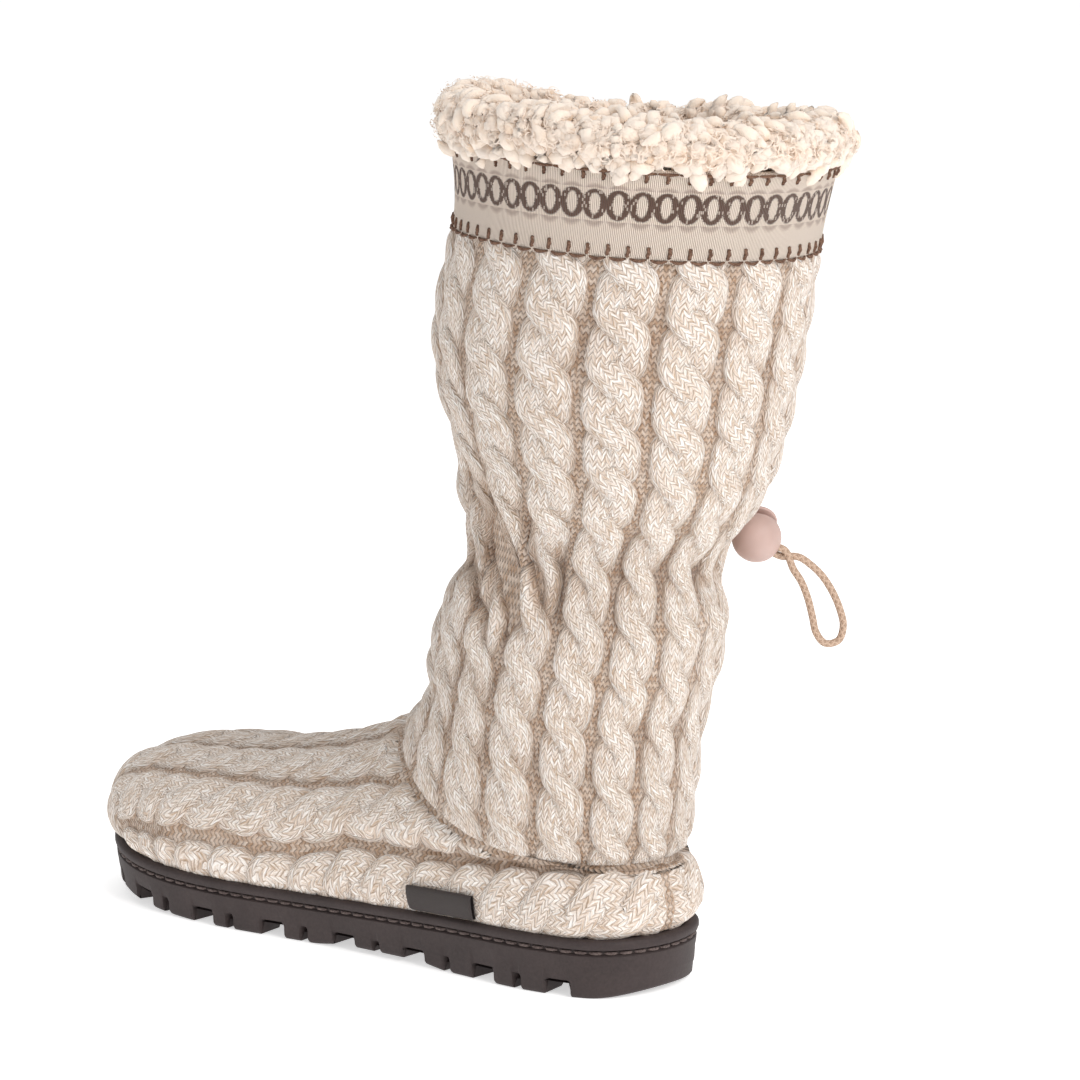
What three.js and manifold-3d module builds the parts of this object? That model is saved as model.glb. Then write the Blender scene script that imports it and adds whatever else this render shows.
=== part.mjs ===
// A tall knitted slipper boot: a rubber cup sole, a knitted foot and shaft, a patterned band,
// a curly fleece rim, and an elastic drawcord with a sprung toggle behind the ankle.
// Millimetres. X runs to the toe, Y to the outer side, Z up; the origin is on the floor under the heel.

import * as THREE from 'three';
import { mergeVertices } from 'three/addons/utils/BufferGeometryUtils.js';
import Module from 'manifold-3d';

const wasm = await Module();
wasm.setup();

// Sole
const SOLE_LENGTH = 265;
const HEEL_BACK_X = -41;
const HEEL_THICKNESS = 21.5;
const BALL_THICKNESS = 18.5;
const TOE_SPRING_FROM_X = 148;
const TOE_SPRING_BOTTOM = 8;
const TOE_SPRING_TOP = 7;
const HEEL_BEVEL_FROM_X = -26;
const HEEL_BEVEL = 2.2;
const LUG_DEPTH = 5;
const ARCH_RELIEF = 1.6;
const LUG_PITCH = 33;
const LUG_GROOVE = 9.5;
const LUG_NICK = 2.6;

// Upper
const KNIT_WALL = 4;
const FOOT_GAP = 0.3;
const SEAM_LEVEL = 7;
const SEAM_GAP_LEVELS = 0.02;
const SHAFT_TOP_LEVEL = 15;
const CABLE_COLUMNS = 16;
const CABLE_FIRST_TURN = 9;
const CABLE_RELIEF = 3;

// Band, rim and tab
const BAND_LEVELS = [13.95, 14.45, 14.96];
const BAND_LIFT = 0.4;
const BAND_THICKNESS = 1.8;
const RIM_LOCKS = 20;
const TAB_FROM_TURN = 56;
const TAB_TO_TURN = 71;
const TAB_FROM_LEVEL = 0.35;
const TAB_TO_LEVEL = 1.4;
const TAB_LIFT = 0.4;
const TAB_THICKNESS = 1.2;

// Drawcord and toggle
const CORD_DIAMETER = 2.6;
const CORD_SPACING = 3.2;
const CORD_LOW_ROOT = -9;
const CORD_HIGH_ROOT = -8.6;
const TOGGLE_TURN = -47.25;
const TOGGLE_LEVEL = 11.35;
const TOGGLE_STANDOFF = 11;
const TOGGLE_DROOP = 27;
const TOGGLE_ROLL = 50;
const TOGGLE_RADIUS = 8.75;
const PLUNGER_RADIUS = 4.2;
const PLUNGER_TRAVEL = 3;
const TOGGLE_CLEARANCE = 0.3;

const TURNS = 64;
const SOLE_TURNS = 56;
const SHAFT_TURNS = 64;
const RIM_TURNS = 48;

// Sole outline: distance from the long axis to the edge, a row for each turn from heel back to toe tip.
const OUTLINE = [
  { turn: 0, outer: 0, inner: 0 },
  { turn: 22.5, outer: 26, inner: -26 },
  { turn: 45, outer: 36, inner: -35.5 },
  { turn: 67.5, outer: 37.5, inner: -34.5 },
  { turn: 90, outer: 41, inner: -35.5 },
  { turn: 112.5, outer: 48.5, inner: -43 },
  { turn: 135, outer: 46, inner: -47 },
  { turn: 157.5, outer: 27, inner: -34 },
  { turn: 180, outer: -5, inner: -5 },
];

// Side of the sole, from the top edge down: drop below the top and set-back from the outline.
const SOLE_SIDE = [
  { name: 'lip top', drop: 0, inset: 1.2 },
  { name: 'lip edge', drop: 1.1, inset: 0 },
  { name: 'lip foot', drop: 3.6, inset: 0.1 },
  { name: 'stitch groove top', drop: 4.1, inset: 1.8 },
  { name: 'stitch groove foot', drop: 5.3, inset: 1.8 },
  { name: 'wall top', drop: 5.8, inset: 0.7 },
  { name: 'wall', drop: 9.5, inset: 1.2 },
];

// Rings of the upper, from the sole's edge up to the top of the shaft.
// back and front give each ring's ends; rise is the height over the sole's top edge; outer and inner are its
// half widths at widest; outline is the share of the sole's own outline, scaled by breadth; sag bends its sides.
const UPPER = [
  {
    back: -37.5, backRise: 0, front: 220, frontRise: 0, widest: 20,
    outer: 36, inner: 36, outline: 1, breadth: 0.93, sag: 1,
  },
  {
    back: -39.8, backRise: 7, front: 224, frontRise: 7, widest: 20,
    outer: 38, inner: 38, outline: 1, breadth: 1, sag: 1,
  },
  {
    back: -38.8, backRise: 14, front: 223, frontRise: 14.5, widest: 20,
    outer: 38, inner: 38, outline: 1, breadth: 0.99, sag: 1,
  },
  {
    back: -37.6, backRise: 18.5, front: 214, frontRise: 25, widest: 25,
    outer: 38, inner: 38, outline: 1, breadth: 0.95, sag: 1.5,
  },
  {
    back: -37, backRise: 21, front: 192, frontRise: 34, widest: 30,
    outer: 38, inner: 38, outline: 0.85, breadth: 0.87, sag: 1.8,
  },
  {
    back: -36.8, backRise: 22.5, front: 152, frontRise: 41, widest: 30,
    outer: 37, inner: 37, outline: 0.5, breadth: 0.86, sag: 2.1,
  },
  {
    back: -36.2, backRise: 23.5, front: 108, frontRise: 51, widest: 22,
    outer: 37, inner: 37, outline: 0.1, breadth: 0.9, sag: 2.4,
  },
  {
    back: -35.5, backRise: 25, front: 80, frontRise: 62, widest: 16,
    outer: 38, inner: 38, outline: 0, breadth: 1, sag: 2.5,
  },
  {
    back: -38.5, backRise: 46, front: 66, frontRise: 74, widest: 14,
    outer: 40, inner: 40, outline: 0, breadth: 1, sag: 1.7,
  },
  {
    back: -40.5, backRise: 69, front: 57, frontRise: 88, widest: 10,
    outer: 42, inner: 42, outline: 0, breadth: 1, sag: 1.2,
  },
  {
    back: -48.5, backRise: 100, front: 51, frontRise: 112, widest: 2,
    outer: 44, inner: 44, outline: 0, breadth: 1, sag: 1,
  },
  {
    back: -49.5, backRise: 130, front: 42.5, frontRise: 140, widest: -3,
    outer: 40, inner: 40, outline: 0, breadth: 1, sag: 1,
  },
  {
    back: -67, backRise: 157, front: 44, frontRise: 166, widest: -11,
    outer: 48, inner: 48, outline: 0, breadth: 1, sag: 1,
  },
  {
    back: -77.5, backRise: 196, front: 53.5, frontRise: 205, widest: -12,
    outer: 56.5, inner: 56.5, outline: 0, breadth: 1, sag: 1,
  },
  {
    back: -85.5, backRise: 243, front: 43.5, frontRise: 249, widest: -21,
    outer: 56, inner: 56, outline: 0, breadth: 1, sag: 1,
  },
  {
    back: -92.5, backRise: 270, front: 44.5, frontRise: 276, widest: -24,
    outer: 58.5, inner: 58.5, outline: 0, breadth: 1, sag: 1,
  },
];

// Section of the fleece rim, seated on the shaft's top edge: out from the wall's face and up from the edge.
const RIM_SECTION = [
  { out: 0.6, up: 0.4 },
  { out: 5, up: 2 },
  { out: 6.8, up: 7.5 },
  { out: 5.5, up: 13.5 },
  { out: 1, up: 17 },
  { out: -5, up: 17.3 },
  { out: -9.5, up: 13.5 },
  { out: -10.5, up: 6 },
  { out: -8.5, up: 0.4 },
];

// Rows of locks fused on the rim: where they sit on its section and how large they are.
const RIM_LOCK_ROWS = [
  { out: 4.4, up: 7.6, size: 5.6, shift: 0 },
  { out: 2, up: 13.6, size: 5.8, shift: 0.5 },
];

// Path of the cord's loop past the toggle: out along the toggle's hole line and up, from the toggle's centre.
const LOOP = [
  { out: 15.4, up: -6.4 },
  { out: 19.8, up: -9.2 },
  { out: 24, up: -13.2 },
  { out: 27.8, up: -18.8 },
  { out: 30.8, up: -25.4 },
  { out: 32.2, up: -31.6 },
  { out: 30.6, up: -36.6 },
  { out: 25.8, up: -37.6 },
  { out: 22.4, up: -33.8 },
  { out: 20.8, up: -27.6 },
  { out: 19, up: -21 },
  { out: 16.6, up: -15.2 },
  { out: 13.6, up: -10.6 },
];

const radians = THREE.MathUtils.degToRad;
const mix = THREE.MathUtils.lerp;
const smooth = THREE.MathUtils.smoothstep;

// Smooth curve through four neighbouring values.
function between(before, from, to, after, part) {
  const slopeFrom = (to - before) / 2;
  const slopeTo = (after - from) / 2;
  const bend = part * part * (3 - 2 * part);
  const leave = part * (1 - part) * (1 - part);
  const arrive = part * part * (1 - part);
  return from + (to - from) * bend + slopeFrom * leave - slopeTo * arrive;
}

// One column of a table, read smoothly between its rows.
function columnAt(rows, column, place) {
  const last = rows.length - 1;
  const index = Math.min(Math.max(Math.floor(place), 0), last - 1);
  const value = (step) => rows[Math.min(Math.max(index + step, 0), last)][column];
  return between(value(-1), value(0), value(1), value(2), place - index);
}

// Half width of the sole's outline at a turn, 0 at the heel's back, 90 on the outer side, 180 at the toe.
function outlineY(turn) {
  const rows = OUTLINE.length - 1;
  const step = 180 / rows;
  const place = (((turn % 360) + 360) % 360) / step;
  const index = Math.floor(place);
  const value = (offset) => {
    const at = (index + offset + 4 * rows) % (2 * rows);
    return at <= rows ? OUTLINE[at].outer : OUTLINE[2 * rows - at].inner;
  };
  return between(value(-1), value(0), value(1), value(2), place - index);
}

function outlineX(turn) {
  return HEEL_BACK_X + (SOLE_LENGTH * (1 - Math.cos(radians(turn)))) / 2;
}

// A point of the outline set back from the edge.
function outlinePoint(turn, inset) {
  const ahead = turn + 0.5;
  const behind = turn - 0.5;
  const along = new THREE.Vector2(outlineX(ahead) - outlineX(behind), outlineY(ahead) - outlineY(behind));
  along.normalize();
  return new THREE.Vector2(outlineX(turn) + along.y * inset, outlineY(turn) - along.x * inset);
}

function soleTop(x) {
  const toe = Math.max(0, (x - TOE_SPRING_FROM_X) / (HEEL_BACK_X + SOLE_LENGTH - TOE_SPRING_FROM_X));
  return mix(HEEL_THICKNESS, BALL_THICKNESS, smooth(x, -10, 115)) + TOE_SPRING_TOP * toe ** 2;
}

function soleBottom(x) {
  const toe = Math.max(0, (x - TOE_SPRING_FROM_X) / (HEEL_BACK_X + SOLE_LENGTH - TOE_SPRING_FROM_X));
  const heel = Math.max(0, (HEEL_BEVEL_FROM_X - x) / (HEEL_BEVEL_FROM_X - HEEL_BACK_X));
  return TOE_SPRING_BOTTOM * toe ** 1.8 + HEEL_BEVEL * heel ** 2;
}

// The upper's face at a level and turn, before any lift.
function upperFace(level, turn) {
  const at = (column) => columnAt(UPPER, column, level);
  const along = -Math.cos(radians(turn));
  const across = Math.sin(radians(turn));
  const widest = at('widest');
  const reach = along < 0 ? widest - at('back') : at('front') - widest;
  const eggX = widest + along * reach;
  const eggY = across * (across > 0 ? at('outer') : at('inner'));
  const soleX = mix(at('back'), at('front'), (1 + along) / 2);
  const soleY = outlineY(turn) * at('breadth');
  const x = mix(eggX, soleX, at('outline'));
  const y = mix(eggY, soleY, at('outline'));
  const part = Math.min(Math.max((x - at('back')) / (at('front') - at('back')), 0), 1);
  const rise = mix(at('backRise'), at('frontRise'), part ** at('sag'));
  return new THREE.Vector3(x, y, soleTop(x) + rise);
}

// The upper's outward normal at a level and turn.
function upperNormal(level, turn) {
  const low = Math.max(level - 0.04, 0);
  const high = Math.min(level + 0.04, UPPER.length - 1);
  const round = upperFace(level, turn + 0.5).sub(upperFace(level, turn - 0.5));
  const up = upperFace(high, turn).sub(upperFace(low, turn));
  return up.cross(round).normalize();
}

function upperPoint(level, turn, lift) {
  return upperFace(level, turn).addScaledVector(upperNormal(level, turn), lift);
}

// Relief of the cable columns on the shaft, fading at the ankle seam and under the band.
function cableRelief(level, turn) {
  const pitch = 360 / CABLE_COLUMNS;
  const place = (turn - CABLE_FIRST_TURN) / pitch;
  const off = Math.abs(place - Math.round(place)) / 0.4;
  const round = off < 1 ? Math.sqrt(1 - off * off) : 0;
  const fade = smooth(level, SEAM_LEVEL, SEAM_LEVEL + 0.35) * (1 - smooth(level, 13.6, 13.9));
  return CABLE_RELIEF * round * fade;
}

function geometryFrom(points, triangles) {
  const geometry = new THREE.BufferGeometry();
  const flat = points.flatMap((point) => [point.x, point.y, point.z]);
  geometry.setAttribute('position', new THREE.Float32BufferAttribute(flat, 3));
  geometry.setIndex(triangles);
  return geometry;
}

// Walls between rings of equal count, the rings given in an order that runs up the outside.
function ringWalls(rings, closed) {
  const count = rings[0].length;
  const triangles = [];
  const spans = closed ? rings.length : rings.length - 1;
  for (let ring = 0; ring < spans; ring += 1) {
    const low = ring * count;
    const high = ((ring + 1) % rings.length) * count;
    for (let i = 0; i < count; i += 1) {
      const next = (i + 1) % count;
      triangles.push(low + i, high + i, low + next);
      triangles.push(low + next, high + i, high + next);
    }
  }
  return triangles;
}

// A hollow wall: rings up the outside, then down the inside, joined end to end.
function wallSolid(rings) {
  return geometryFrom(rings.flat(), ringWalls(rings, true));
}

// A filled solid: rings from bottom to top, closed by caps laddered from side to side.
function slabSolid(rings) {
  const count = rings[0].length;
  const triangles = ringWalls(rings, false);
  const top = (rings.length - 1) * count;
  for (let i = 0; i < count / 2; i += 1) {
    const [a, b] = [i, i + 1];
    const [c, d] = [(count - i) % count, count - i - 1];
    if (i > 0) {
      triangles.push(a, b, c);
      triangles.push(top + a, top + c, top + b);
    }
    if (i < count / 2 - 1) {
      triangles.push(b, d, c);
      triangles.push(top + b, top + c, top + d);
    }
  }
  return geometryFrom(rings.flat(), triangles);
}

function turnsOf(count, first) {
  return Array.from({ length: count }, (_, i) => first + (360 * i) / count);
}

function solidOf(geometry) {
  const bare = geometry.clone();
  bare.deleteAttribute('normal');
  bare.deleteAttribute('uv');
  const merged = mergeVertices(bare, 1e-4);
  const vertProperties = new Float32Array(merged.getAttribute('position').array);
  const triVerts = new Uint32Array(merged.index.array);
  return new wasm.Manifold(new wasm.Mesh({ numProp: 3, vertProperties, triVerts }));
}

function geometryOf(solid) {
  const mesh = solid.getMesh();
  const geometry = new THREE.BufferGeometry();
  geometry.setAttribute('position', new THREE.BufferAttribute(new Float32Array(mesh.vertProperties), 3));
  geometry.setIndex(new THREE.BufferAttribute(new Uint32Array(mesh.triVerts), 1));
  return geometry;
}

function boxSolid(size, centre, angle) {
  const box = new THREE.BoxGeometry(size.x, size.y, size.z);
  box.rotateZ(radians(angle));
  box.translate(centre.x, centre.y, centre.z);
  return solidOf(box);
}

// Rings of the sole's outline at set-backs and heights.
function soleRing(inset, height) {
  return turnsOf(SOLE_TURNS, 0).map((turn) => {
    const flat = outlinePoint(turn, inset);
    return new THREE.Vector3(flat.x, flat.y, height(flat.x));
  });
}

function makeOutsole() {
  const side = SOLE_SIDE.map((row) => soleRing(row.inset, (x) => soleTop(x) - row.drop));
  const foot = soleRing(2.6, (x) => soleBottom(x) + LUG_DEPTH + 0.6);
  const base = soleRing(3.4, (x) => soleBottom(x) + LUG_DEPTH);
  const body = solidOf(slabSolid([base, foot, ...side.reverse()]));
  const arch = (x) => ARCH_RELIEF * smooth(x, 34, 50) * (1 - smooth(x, 82, 98));
  let lugs = solidOf(
    slabSolid([
      soleRing(2.8, (x) => soleBottom(x) + arch(x)),
      soleRing(1.9, (x) => soleBottom(x) + arch(x) + 1),
      soleRing(1.7, (x) => soleBottom(x) + LUG_DEPTH + 3),
    ]),
  );
  const count = Math.floor(SOLE_LENGTH / LUG_PITCH);
  for (let i = 0; i < count; i += 1) {
    const x = HEEL_BACK_X + LUG_PITCH * (i + 0.78);
    for (const sideSign of [-1, 1]) {
      const groove = new THREE.Vector3(LUG_GROOVE, 46, 26);
      lugs = lugs.subtract(boxSolid(groove, new THREE.Vector3(x, sideSign * 33, 0), sideSign * 12));
      const nick = new THREE.Vector3(LUG_NICK, 20, 22);
      const middle = new THREE.Vector3(x + LUG_PITCH / 2, sideSign * 48, 0);
      lugs = lugs.subtract(boxSolid(nick, middle, sideSign * 12));
    }
  }
  return geometryOf(body.add(lugs));
}

function makeInsole() {
  const inset = KNIT_WALL + 5.2;
  const low = (x) => soleTop(x) + FOOT_GAP;
  return slabSolid([
    soleRing(inset, low),
    soleRing(inset, (x) => low(x) + 3.6),
    soleRing(inset + 1.6, (x) => low(x) + 4.6),
  ]);
}

// A hollow piece of the upper between two levels.
function upperWall(outerLevels, innerLevels, turns, relief) {
  const outside = outerLevels.map((level) =>
    turns.map((turn) => upperPoint(level, turn, relief(level, turn))));
  const inside = innerLevels.map((level) => turns.map((turn) => upperPoint(level, turn, -KNIT_WALL)));
  return wallSolid([...outside, ...inside.reverse()]);
}

function raised(geometry, height) {
  geometry.translate(0, 0, height);
  return geometry;
}

function makeKnitFoot() {
  const outer = [0, 0.5, 1, 1.5, 2, 2.6, 3.2, 3.8, 4.4, 5, 5.7, 6.4, SEAM_LEVEL];
  const inner = [0, 1.2, 2.6, 4, 5.5, SEAM_LEVEL];
  return raised(upperWall(outer, inner, turnsOf(TURNS, 0), () => 0), FOOT_GAP);
}

function makeKnitShaft() {
  const from = SEAM_LEVEL + SEAM_GAP_LEVELS;
  const outer = [from, 7.25, 7.7, 8.4, 9.2, 10, 10.5, 11, 11.5, 12.2, 13, 13.9];
  outer.push(...BAND_LEVELS.slice(1, -1), SHAFT_TOP_LEVEL);
  const inner = [from, 8.4, 10, 11, 12.2, 13.6, SHAFT_TOP_LEVEL];
  return raised(upperWall(outer, inner, turnsOf(SHAFT_TURNS, CABLE_FIRST_TURN), cableRelief), FOOT_GAP);
}

function makeWovenBand() {
  const turns = turnsOf(SHAFT_TURNS, CABLE_FIRST_TURN);
  const ring = (level, lift) => turns.map((turn) => upperPoint(level, turn, lift));
  const outside = BAND_LEVELS.map((level) => ring(level, BAND_LIFT + BAND_THICKNESS));
  const inside = BAND_LEVELS.map((level) => ring(level, BAND_LIFT));
  return raised(wallSolid([...outside, ...inside.reverse()]), FOOT_GAP);
}

// A point on the rim: out from the wall's top edge and up from it.
function rimPoint(turn, out, up) {
  return upperPoint(SHAFT_TOP_LEVEL, turn, out).add(new THREE.Vector3(0, 0, up + FOOT_GAP));
}

// A repeatable uneven value between -1 and 1 for each lock.
function uneven(number) {
  return 2 * (Math.abs(Math.sin(number * 12.9898) * 43758.5453) % 1) - 1;
}

function makeFleeceCollar() {
  const turns = turnsOf(RIM_TURNS, 0);
  const rings = RIM_SECTION.map((row) => turns.map((turn) => rimPoint(turn, row.out, row.up)));
  let rim = solidOf(wallSolid(rings));
  RIM_LOCK_ROWS.forEach((row, rowIndex) => {
    for (let i = 0; i < RIM_LOCKS; i += 1) {
      const seed = rowIndex * RIM_LOCKS + i + 1;
      const turn = (360 * (i + row.shift + 0.15 * uneven(seed))) / RIM_LOCKS;
      const lock = new THREE.OctahedronGeometry(row.size * (1 + 0.15 * uneven(seed + 500)), 0);
      lock.scale(1, 1, 1.25);
      lock.rotateX(uneven(seed + 200));
      lock.rotateY(uneven(seed + 300));
      const place = rimPoint(turn, row.out, row.up + uneven(seed + 400));
      lock.translate(place.x, place.y, place.z);
      rim = rim.add(solidOf(lock));
    }
  });
  return geometryOf(rim);
}

function makeSideTab() {
  const rows = 4;
  const columns = 8;
  const sheet = (lift) => {
    const points = [];
    for (let r = 0; r <= rows; r += 1) {
      for (let c = 0; c <= columns; c += 1) {
        const level = mix(TAB_FROM_LEVEL, TAB_TO_LEVEL, r / rows);
        const turn = mix(TAB_FROM_TURN, TAB_TO_TURN, c / columns);
        points.push(upperPoint(level, turn, lift));
      }
    }
    return points;
  };
  const wide = columns + 1;
  const half = wide * (rows + 1);
  const triangles = [];
  const quad = (a, b, c, d) => triangles.push(a, b, c, a, c, d);
  for (let r = 0; r < rows; r += 1) {
    for (let c = 0; c < columns; c += 1) {
      const at = r * wide + c;
      quad(half + at, half + at + wide, half + at + wide + 1, half + at + 1);
      quad(at, at + 1, at + wide + 1, at + wide);
    }
  }
  for (let c = 0; c < columns; c += 1) {
    const top = rows * wide + c;
    quad(c, half + c, half + c + 1, c + 1);
    quad(top, top + 1, half + top + 1, half + top);
  }
  for (let r = 0; r < rows; r += 1) {
    const left = r * wide;
    const right = left + columns;
    quad(left, left + wide, half + left + wide, half + left);
    quad(right, half + right, half + right + wide, right + wide);
  }
  return raised(geometryFrom([...sheet(TAB_LIFT), ...sheet(TAB_LIFT + TAB_THICKNESS)], triangles), FOOT_GAP);
}

// The toggle's own axes: cord along its hole, button along its plunger, and side across both.
function toggleAxes() {
  const away = upperNormal(TOGGLE_LEVEL, TOGGLE_TURN).setZ(0).normalize();
  const up = new THREE.Vector3(0, 0, 1);
  const round = new THREE.Vector3().crossVectors(away, up).normalize();
  const droop = radians(TOGGLE_DROOP);
  const roll = radians(TOGGLE_ROLL);
  const cord = away.clone().multiplyScalar(Math.cos(droop)).addScaledVector(up, -Math.sin(droop));
  const over = away.clone().multiplyScalar(Math.sin(droop)).addScaledVector(up, Math.cos(droop));
  const button = over.clone().multiplyScalar(Math.cos(roll)).addScaledVector(round, -Math.sin(roll));
  const side = new THREE.Vector3().crossVectors(cord, button).normalize();
  const centre = upperPoint(TOGGLE_LEVEL, TOGGLE_TURN, TOGGLE_STANDOFF);
  centre.z += FOOT_GAP;
  return { away, up, cord, button, side, over, centre };
}

// A slot cut straight through along the cord: a wide and a tall rounded hole.
function slotSolid(wide, tall, middle) {
  const shape = new THREE.Shape();
  const end = CORD_DIAMETER / 2 + TOGGLE_CLEARANCE;
  const reachX = wide / 2 - end;
  const reachY = tall / 2 - end;
  const steps = 12;
  for (let i = 0; i < 2 * steps; i += 1) {
    const angle = (Math.PI * (i + 0.5)) / steps;
    const x = Math.sign(Math.cos(angle)) * reachX + end * Math.cos(angle);
    const y = Math.sign(Math.sin(angle)) * reachY + end * Math.sin(angle) + middle;
    if (i === 0) {
      shape.moveTo(x, y);
    } else {
      shape.lineTo(x, y);
    }
  }
  const cutter = new THREE.ExtrudeGeometry(shape, { depth: 40, bevelEnabled: false });
  cutter.translate(0, 0, -20);
  cutter.rotateY(Math.PI / 2);
  return solidOf(cutter);
}

const SLOT_LEVEL = -1.4;
const SLOT_WIDE = CORD_SPACING + CORD_DIAMETER + 2 * TOGGLE_CLEARANCE;
const SLOT_TALL = CORD_DIAMETER + 2 * TOGGLE_CLEARANCE;

// Toggle body: half a ball and its shoulder, bored for the plunger.
function makeLockBody() {
  const bore = PLUNGER_RADIUS + TOGGLE_CLEARANCE;
  const floor = -TOGGLE_RADIUS + 1.6;
  const profile = [new THREE.Vector2(0, -TOGGLE_RADIUS)];
  for (let angle = -75; angle <= 20; angle += 19) {
    const ray = radians(angle);
    profile.push(new THREE.Vector2(TOGGLE_RADIUS * Math.cos(ray), TOGGLE_RADIUS * Math.sin(ray)));
  }
  profile.push(new THREE.Vector2(7.4, 4));
  profile.push(new THREE.Vector2(6.6, 4.5));
  profile.push(new THREE.Vector2(bore, 4.5));
  profile.push(new THREE.Vector2(bore, floor));
  profile.push(new THREE.Vector2(0, floor));
  const body = solidOf(new THREE.LatheGeometry(profile, 18));
  return geometryOf(body.subtract(slotSolid(SLOT_WIDE, SLOT_TALL, SLOT_LEVEL)));
}

// Toggle plunger: a domed button on a stem whose slot is longer than the cord by the travel.
function makeLockPlunger() {
  const under = 4.5 + PLUNGER_TRAVEL + TOGGLE_CLEARANCE;
  const stemEnd = SLOT_LEVEL - SLOT_TALL / 2 - 1;
  const profile = [
    new THREE.Vector2(0, stemEnd),
    new THREE.Vector2(PLUNGER_RADIUS, stemEnd),
    new THREE.Vector2(PLUNGER_RADIUS, under),
    new THREE.Vector2(5.9, under),
    new THREE.Vector2(6.5, under + 0.7),
    new THREE.Vector2(5.6, under + 2.1),
    new THREE.Vector2(3.4, under + 3.1),
    new THREE.Vector2(0, under + 3.5),
  ];
  const plunger = solidOf(new THREE.LatheGeometry(profile, 18));
  const tall = SLOT_TALL + PLUNGER_TRAVEL;
  const slot = slotSolid(SLOT_WIDE, tall, SLOT_LEVEL + PLUNGER_TRAVEL / 2);
  return geometryOf(plunger.subtract(slot));
}

// The cord's path: out of the knit, through the toggle, round its loop and back.
function cordPath() {
  const { away, cord, button, side, centre, up } = toggleAxes();
  const hole = (along, across) =>
    centre.clone()
      .addScaledVector(cord, along)
      .addScaledVector(side, across)
      .addScaledVector(button, SLOT_LEVEL);
  const points = [];
  const half = CORD_SPACING / 2;
  [CORD_LOW_ROOT, -4, 2, 7, 11].forEach((along) => points.push(hole(along, -half)));
  LOOP.forEach((row) => {
    const drop = centre.clone().addScaledVector(away, row.out).addScaledVector(up, row.up);
    points.push(drop.addScaledVector(button, SLOT_LEVEL));
  });
  [11, 7, 2, -4, CORD_HIGH_ROOT].forEach((along) => points.push(hole(along, half)));
  return points;
}

function makeDrawcord() {
  const path = new THREE.CatmullRomCurve3(cordPath(), false, 'centripetal');
  const sides = 8;
  const shape = new THREE.Shape();
  for (let i = 0; i < sides; i += 1) {
    const angle = (2 * Math.PI * i) / sides;
    const x = (CORD_DIAMETER / 2) * Math.cos(angle);
    const y = (CORD_DIAMETER / 2) * Math.sin(angle);
    if (i === 0) {
      shape.moveTo(x, y);
    } else {
      shape.lineTo(x, y);
    }
  }
  return new THREE.ExtrudeGeometry(shape, { steps: 42, bevelEnabled: false, extrudePath: path });
}

const boot = new THREE.Group();
boot.name = 'slipper_boot';

function addPiece(parent, name, geometry, colour, roughness) {
  const material = new THREE.MeshStandardMaterial({ color: colour, roughness, metalness: 0 });
  const mesh = new THREE.Mesh(geometry, material);
  mesh.name = name;
  parent.add(mesh);
}

addPiece(boot, 'outsole', makeOutsole(), 0x514646, 0.75);
addPiece(boot, 'insole', makeInsole(), 0xd9ccb8, 0.95);
addPiece(boot, 'knit_foot', makeKnitFoot(), 0xcbb79d, 0.95);
addPiece(boot, 'knit_shaft', makeKnitShaft(), 0xcbb79d, 0.95);
addPiece(boot, 'woven_band', makeWovenBand(), 0xd8cbb6, 0.9);
addPiece(boot, 'fleece_collar', makeFleeceCollar(), 0xeee2cf, 1);
addPiece(boot, 'side_tab', makeSideTab(), 0x2a2422, 0.6);
addPiece(boot, 'drawcord', makeDrawcord(), 0xa98d70, 0.85);

const toggle = new THREE.Group();
toggle.name = 'toggle';
const axes = toggleAxes();
toggle.position.copy(axes.centre);
toggle.quaternion.setFromRotationMatrix(new THREE.Matrix4().makeBasis(axes.cord, axes.button, axes.side));
addPiece(toggle, 'cord_lock_body', makeLockBody(), 0xd0b7b0, 0.45);
addPiece(toggle, 'cord_lock_plunger', makeLockPlunger(), 0xd0b7b0, 0.45);
boot.add(toggle);

export default boot;
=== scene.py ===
import math

import bpy
import numpy as np
from mathutils import Matrix, Vector


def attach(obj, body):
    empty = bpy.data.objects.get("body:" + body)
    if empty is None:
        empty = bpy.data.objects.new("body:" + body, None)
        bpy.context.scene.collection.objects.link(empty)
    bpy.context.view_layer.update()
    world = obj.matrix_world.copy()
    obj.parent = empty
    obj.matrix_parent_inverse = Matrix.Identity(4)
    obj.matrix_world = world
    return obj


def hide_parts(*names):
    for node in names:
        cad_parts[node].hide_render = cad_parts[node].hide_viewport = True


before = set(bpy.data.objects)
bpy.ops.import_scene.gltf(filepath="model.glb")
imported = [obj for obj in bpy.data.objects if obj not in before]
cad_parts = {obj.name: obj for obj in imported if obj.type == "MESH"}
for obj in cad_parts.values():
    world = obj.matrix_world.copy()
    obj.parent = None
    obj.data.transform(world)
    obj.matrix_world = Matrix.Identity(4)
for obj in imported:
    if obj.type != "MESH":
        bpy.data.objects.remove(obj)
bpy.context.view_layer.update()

# Sizes in millimetres, as the maker of the boot would give them; MM turns them to metres.
MM = 0.001

# Sole
SOLE_LENGTH = 265.0
HEEL_BACK_X = -41.0
HEEL_THICKNESS = 21.5
BALL_THICKNESS = 18.5
TOE_SPRING_FROM_X = 148.0
TOE_SPRING_BOTTOM = 8.0
TOE_SPRING_TOP = 7.0
HEEL_BEVEL_FROM_X = -26.0
HEEL_BEVEL = 2.2
LUG_DEPTH = 5.0
ARCH_RELIEF = 1.6
LUG_PITCH = 33.0
LUG_GROOVE = 9.5
LUG_NICK = 2.6

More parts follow.
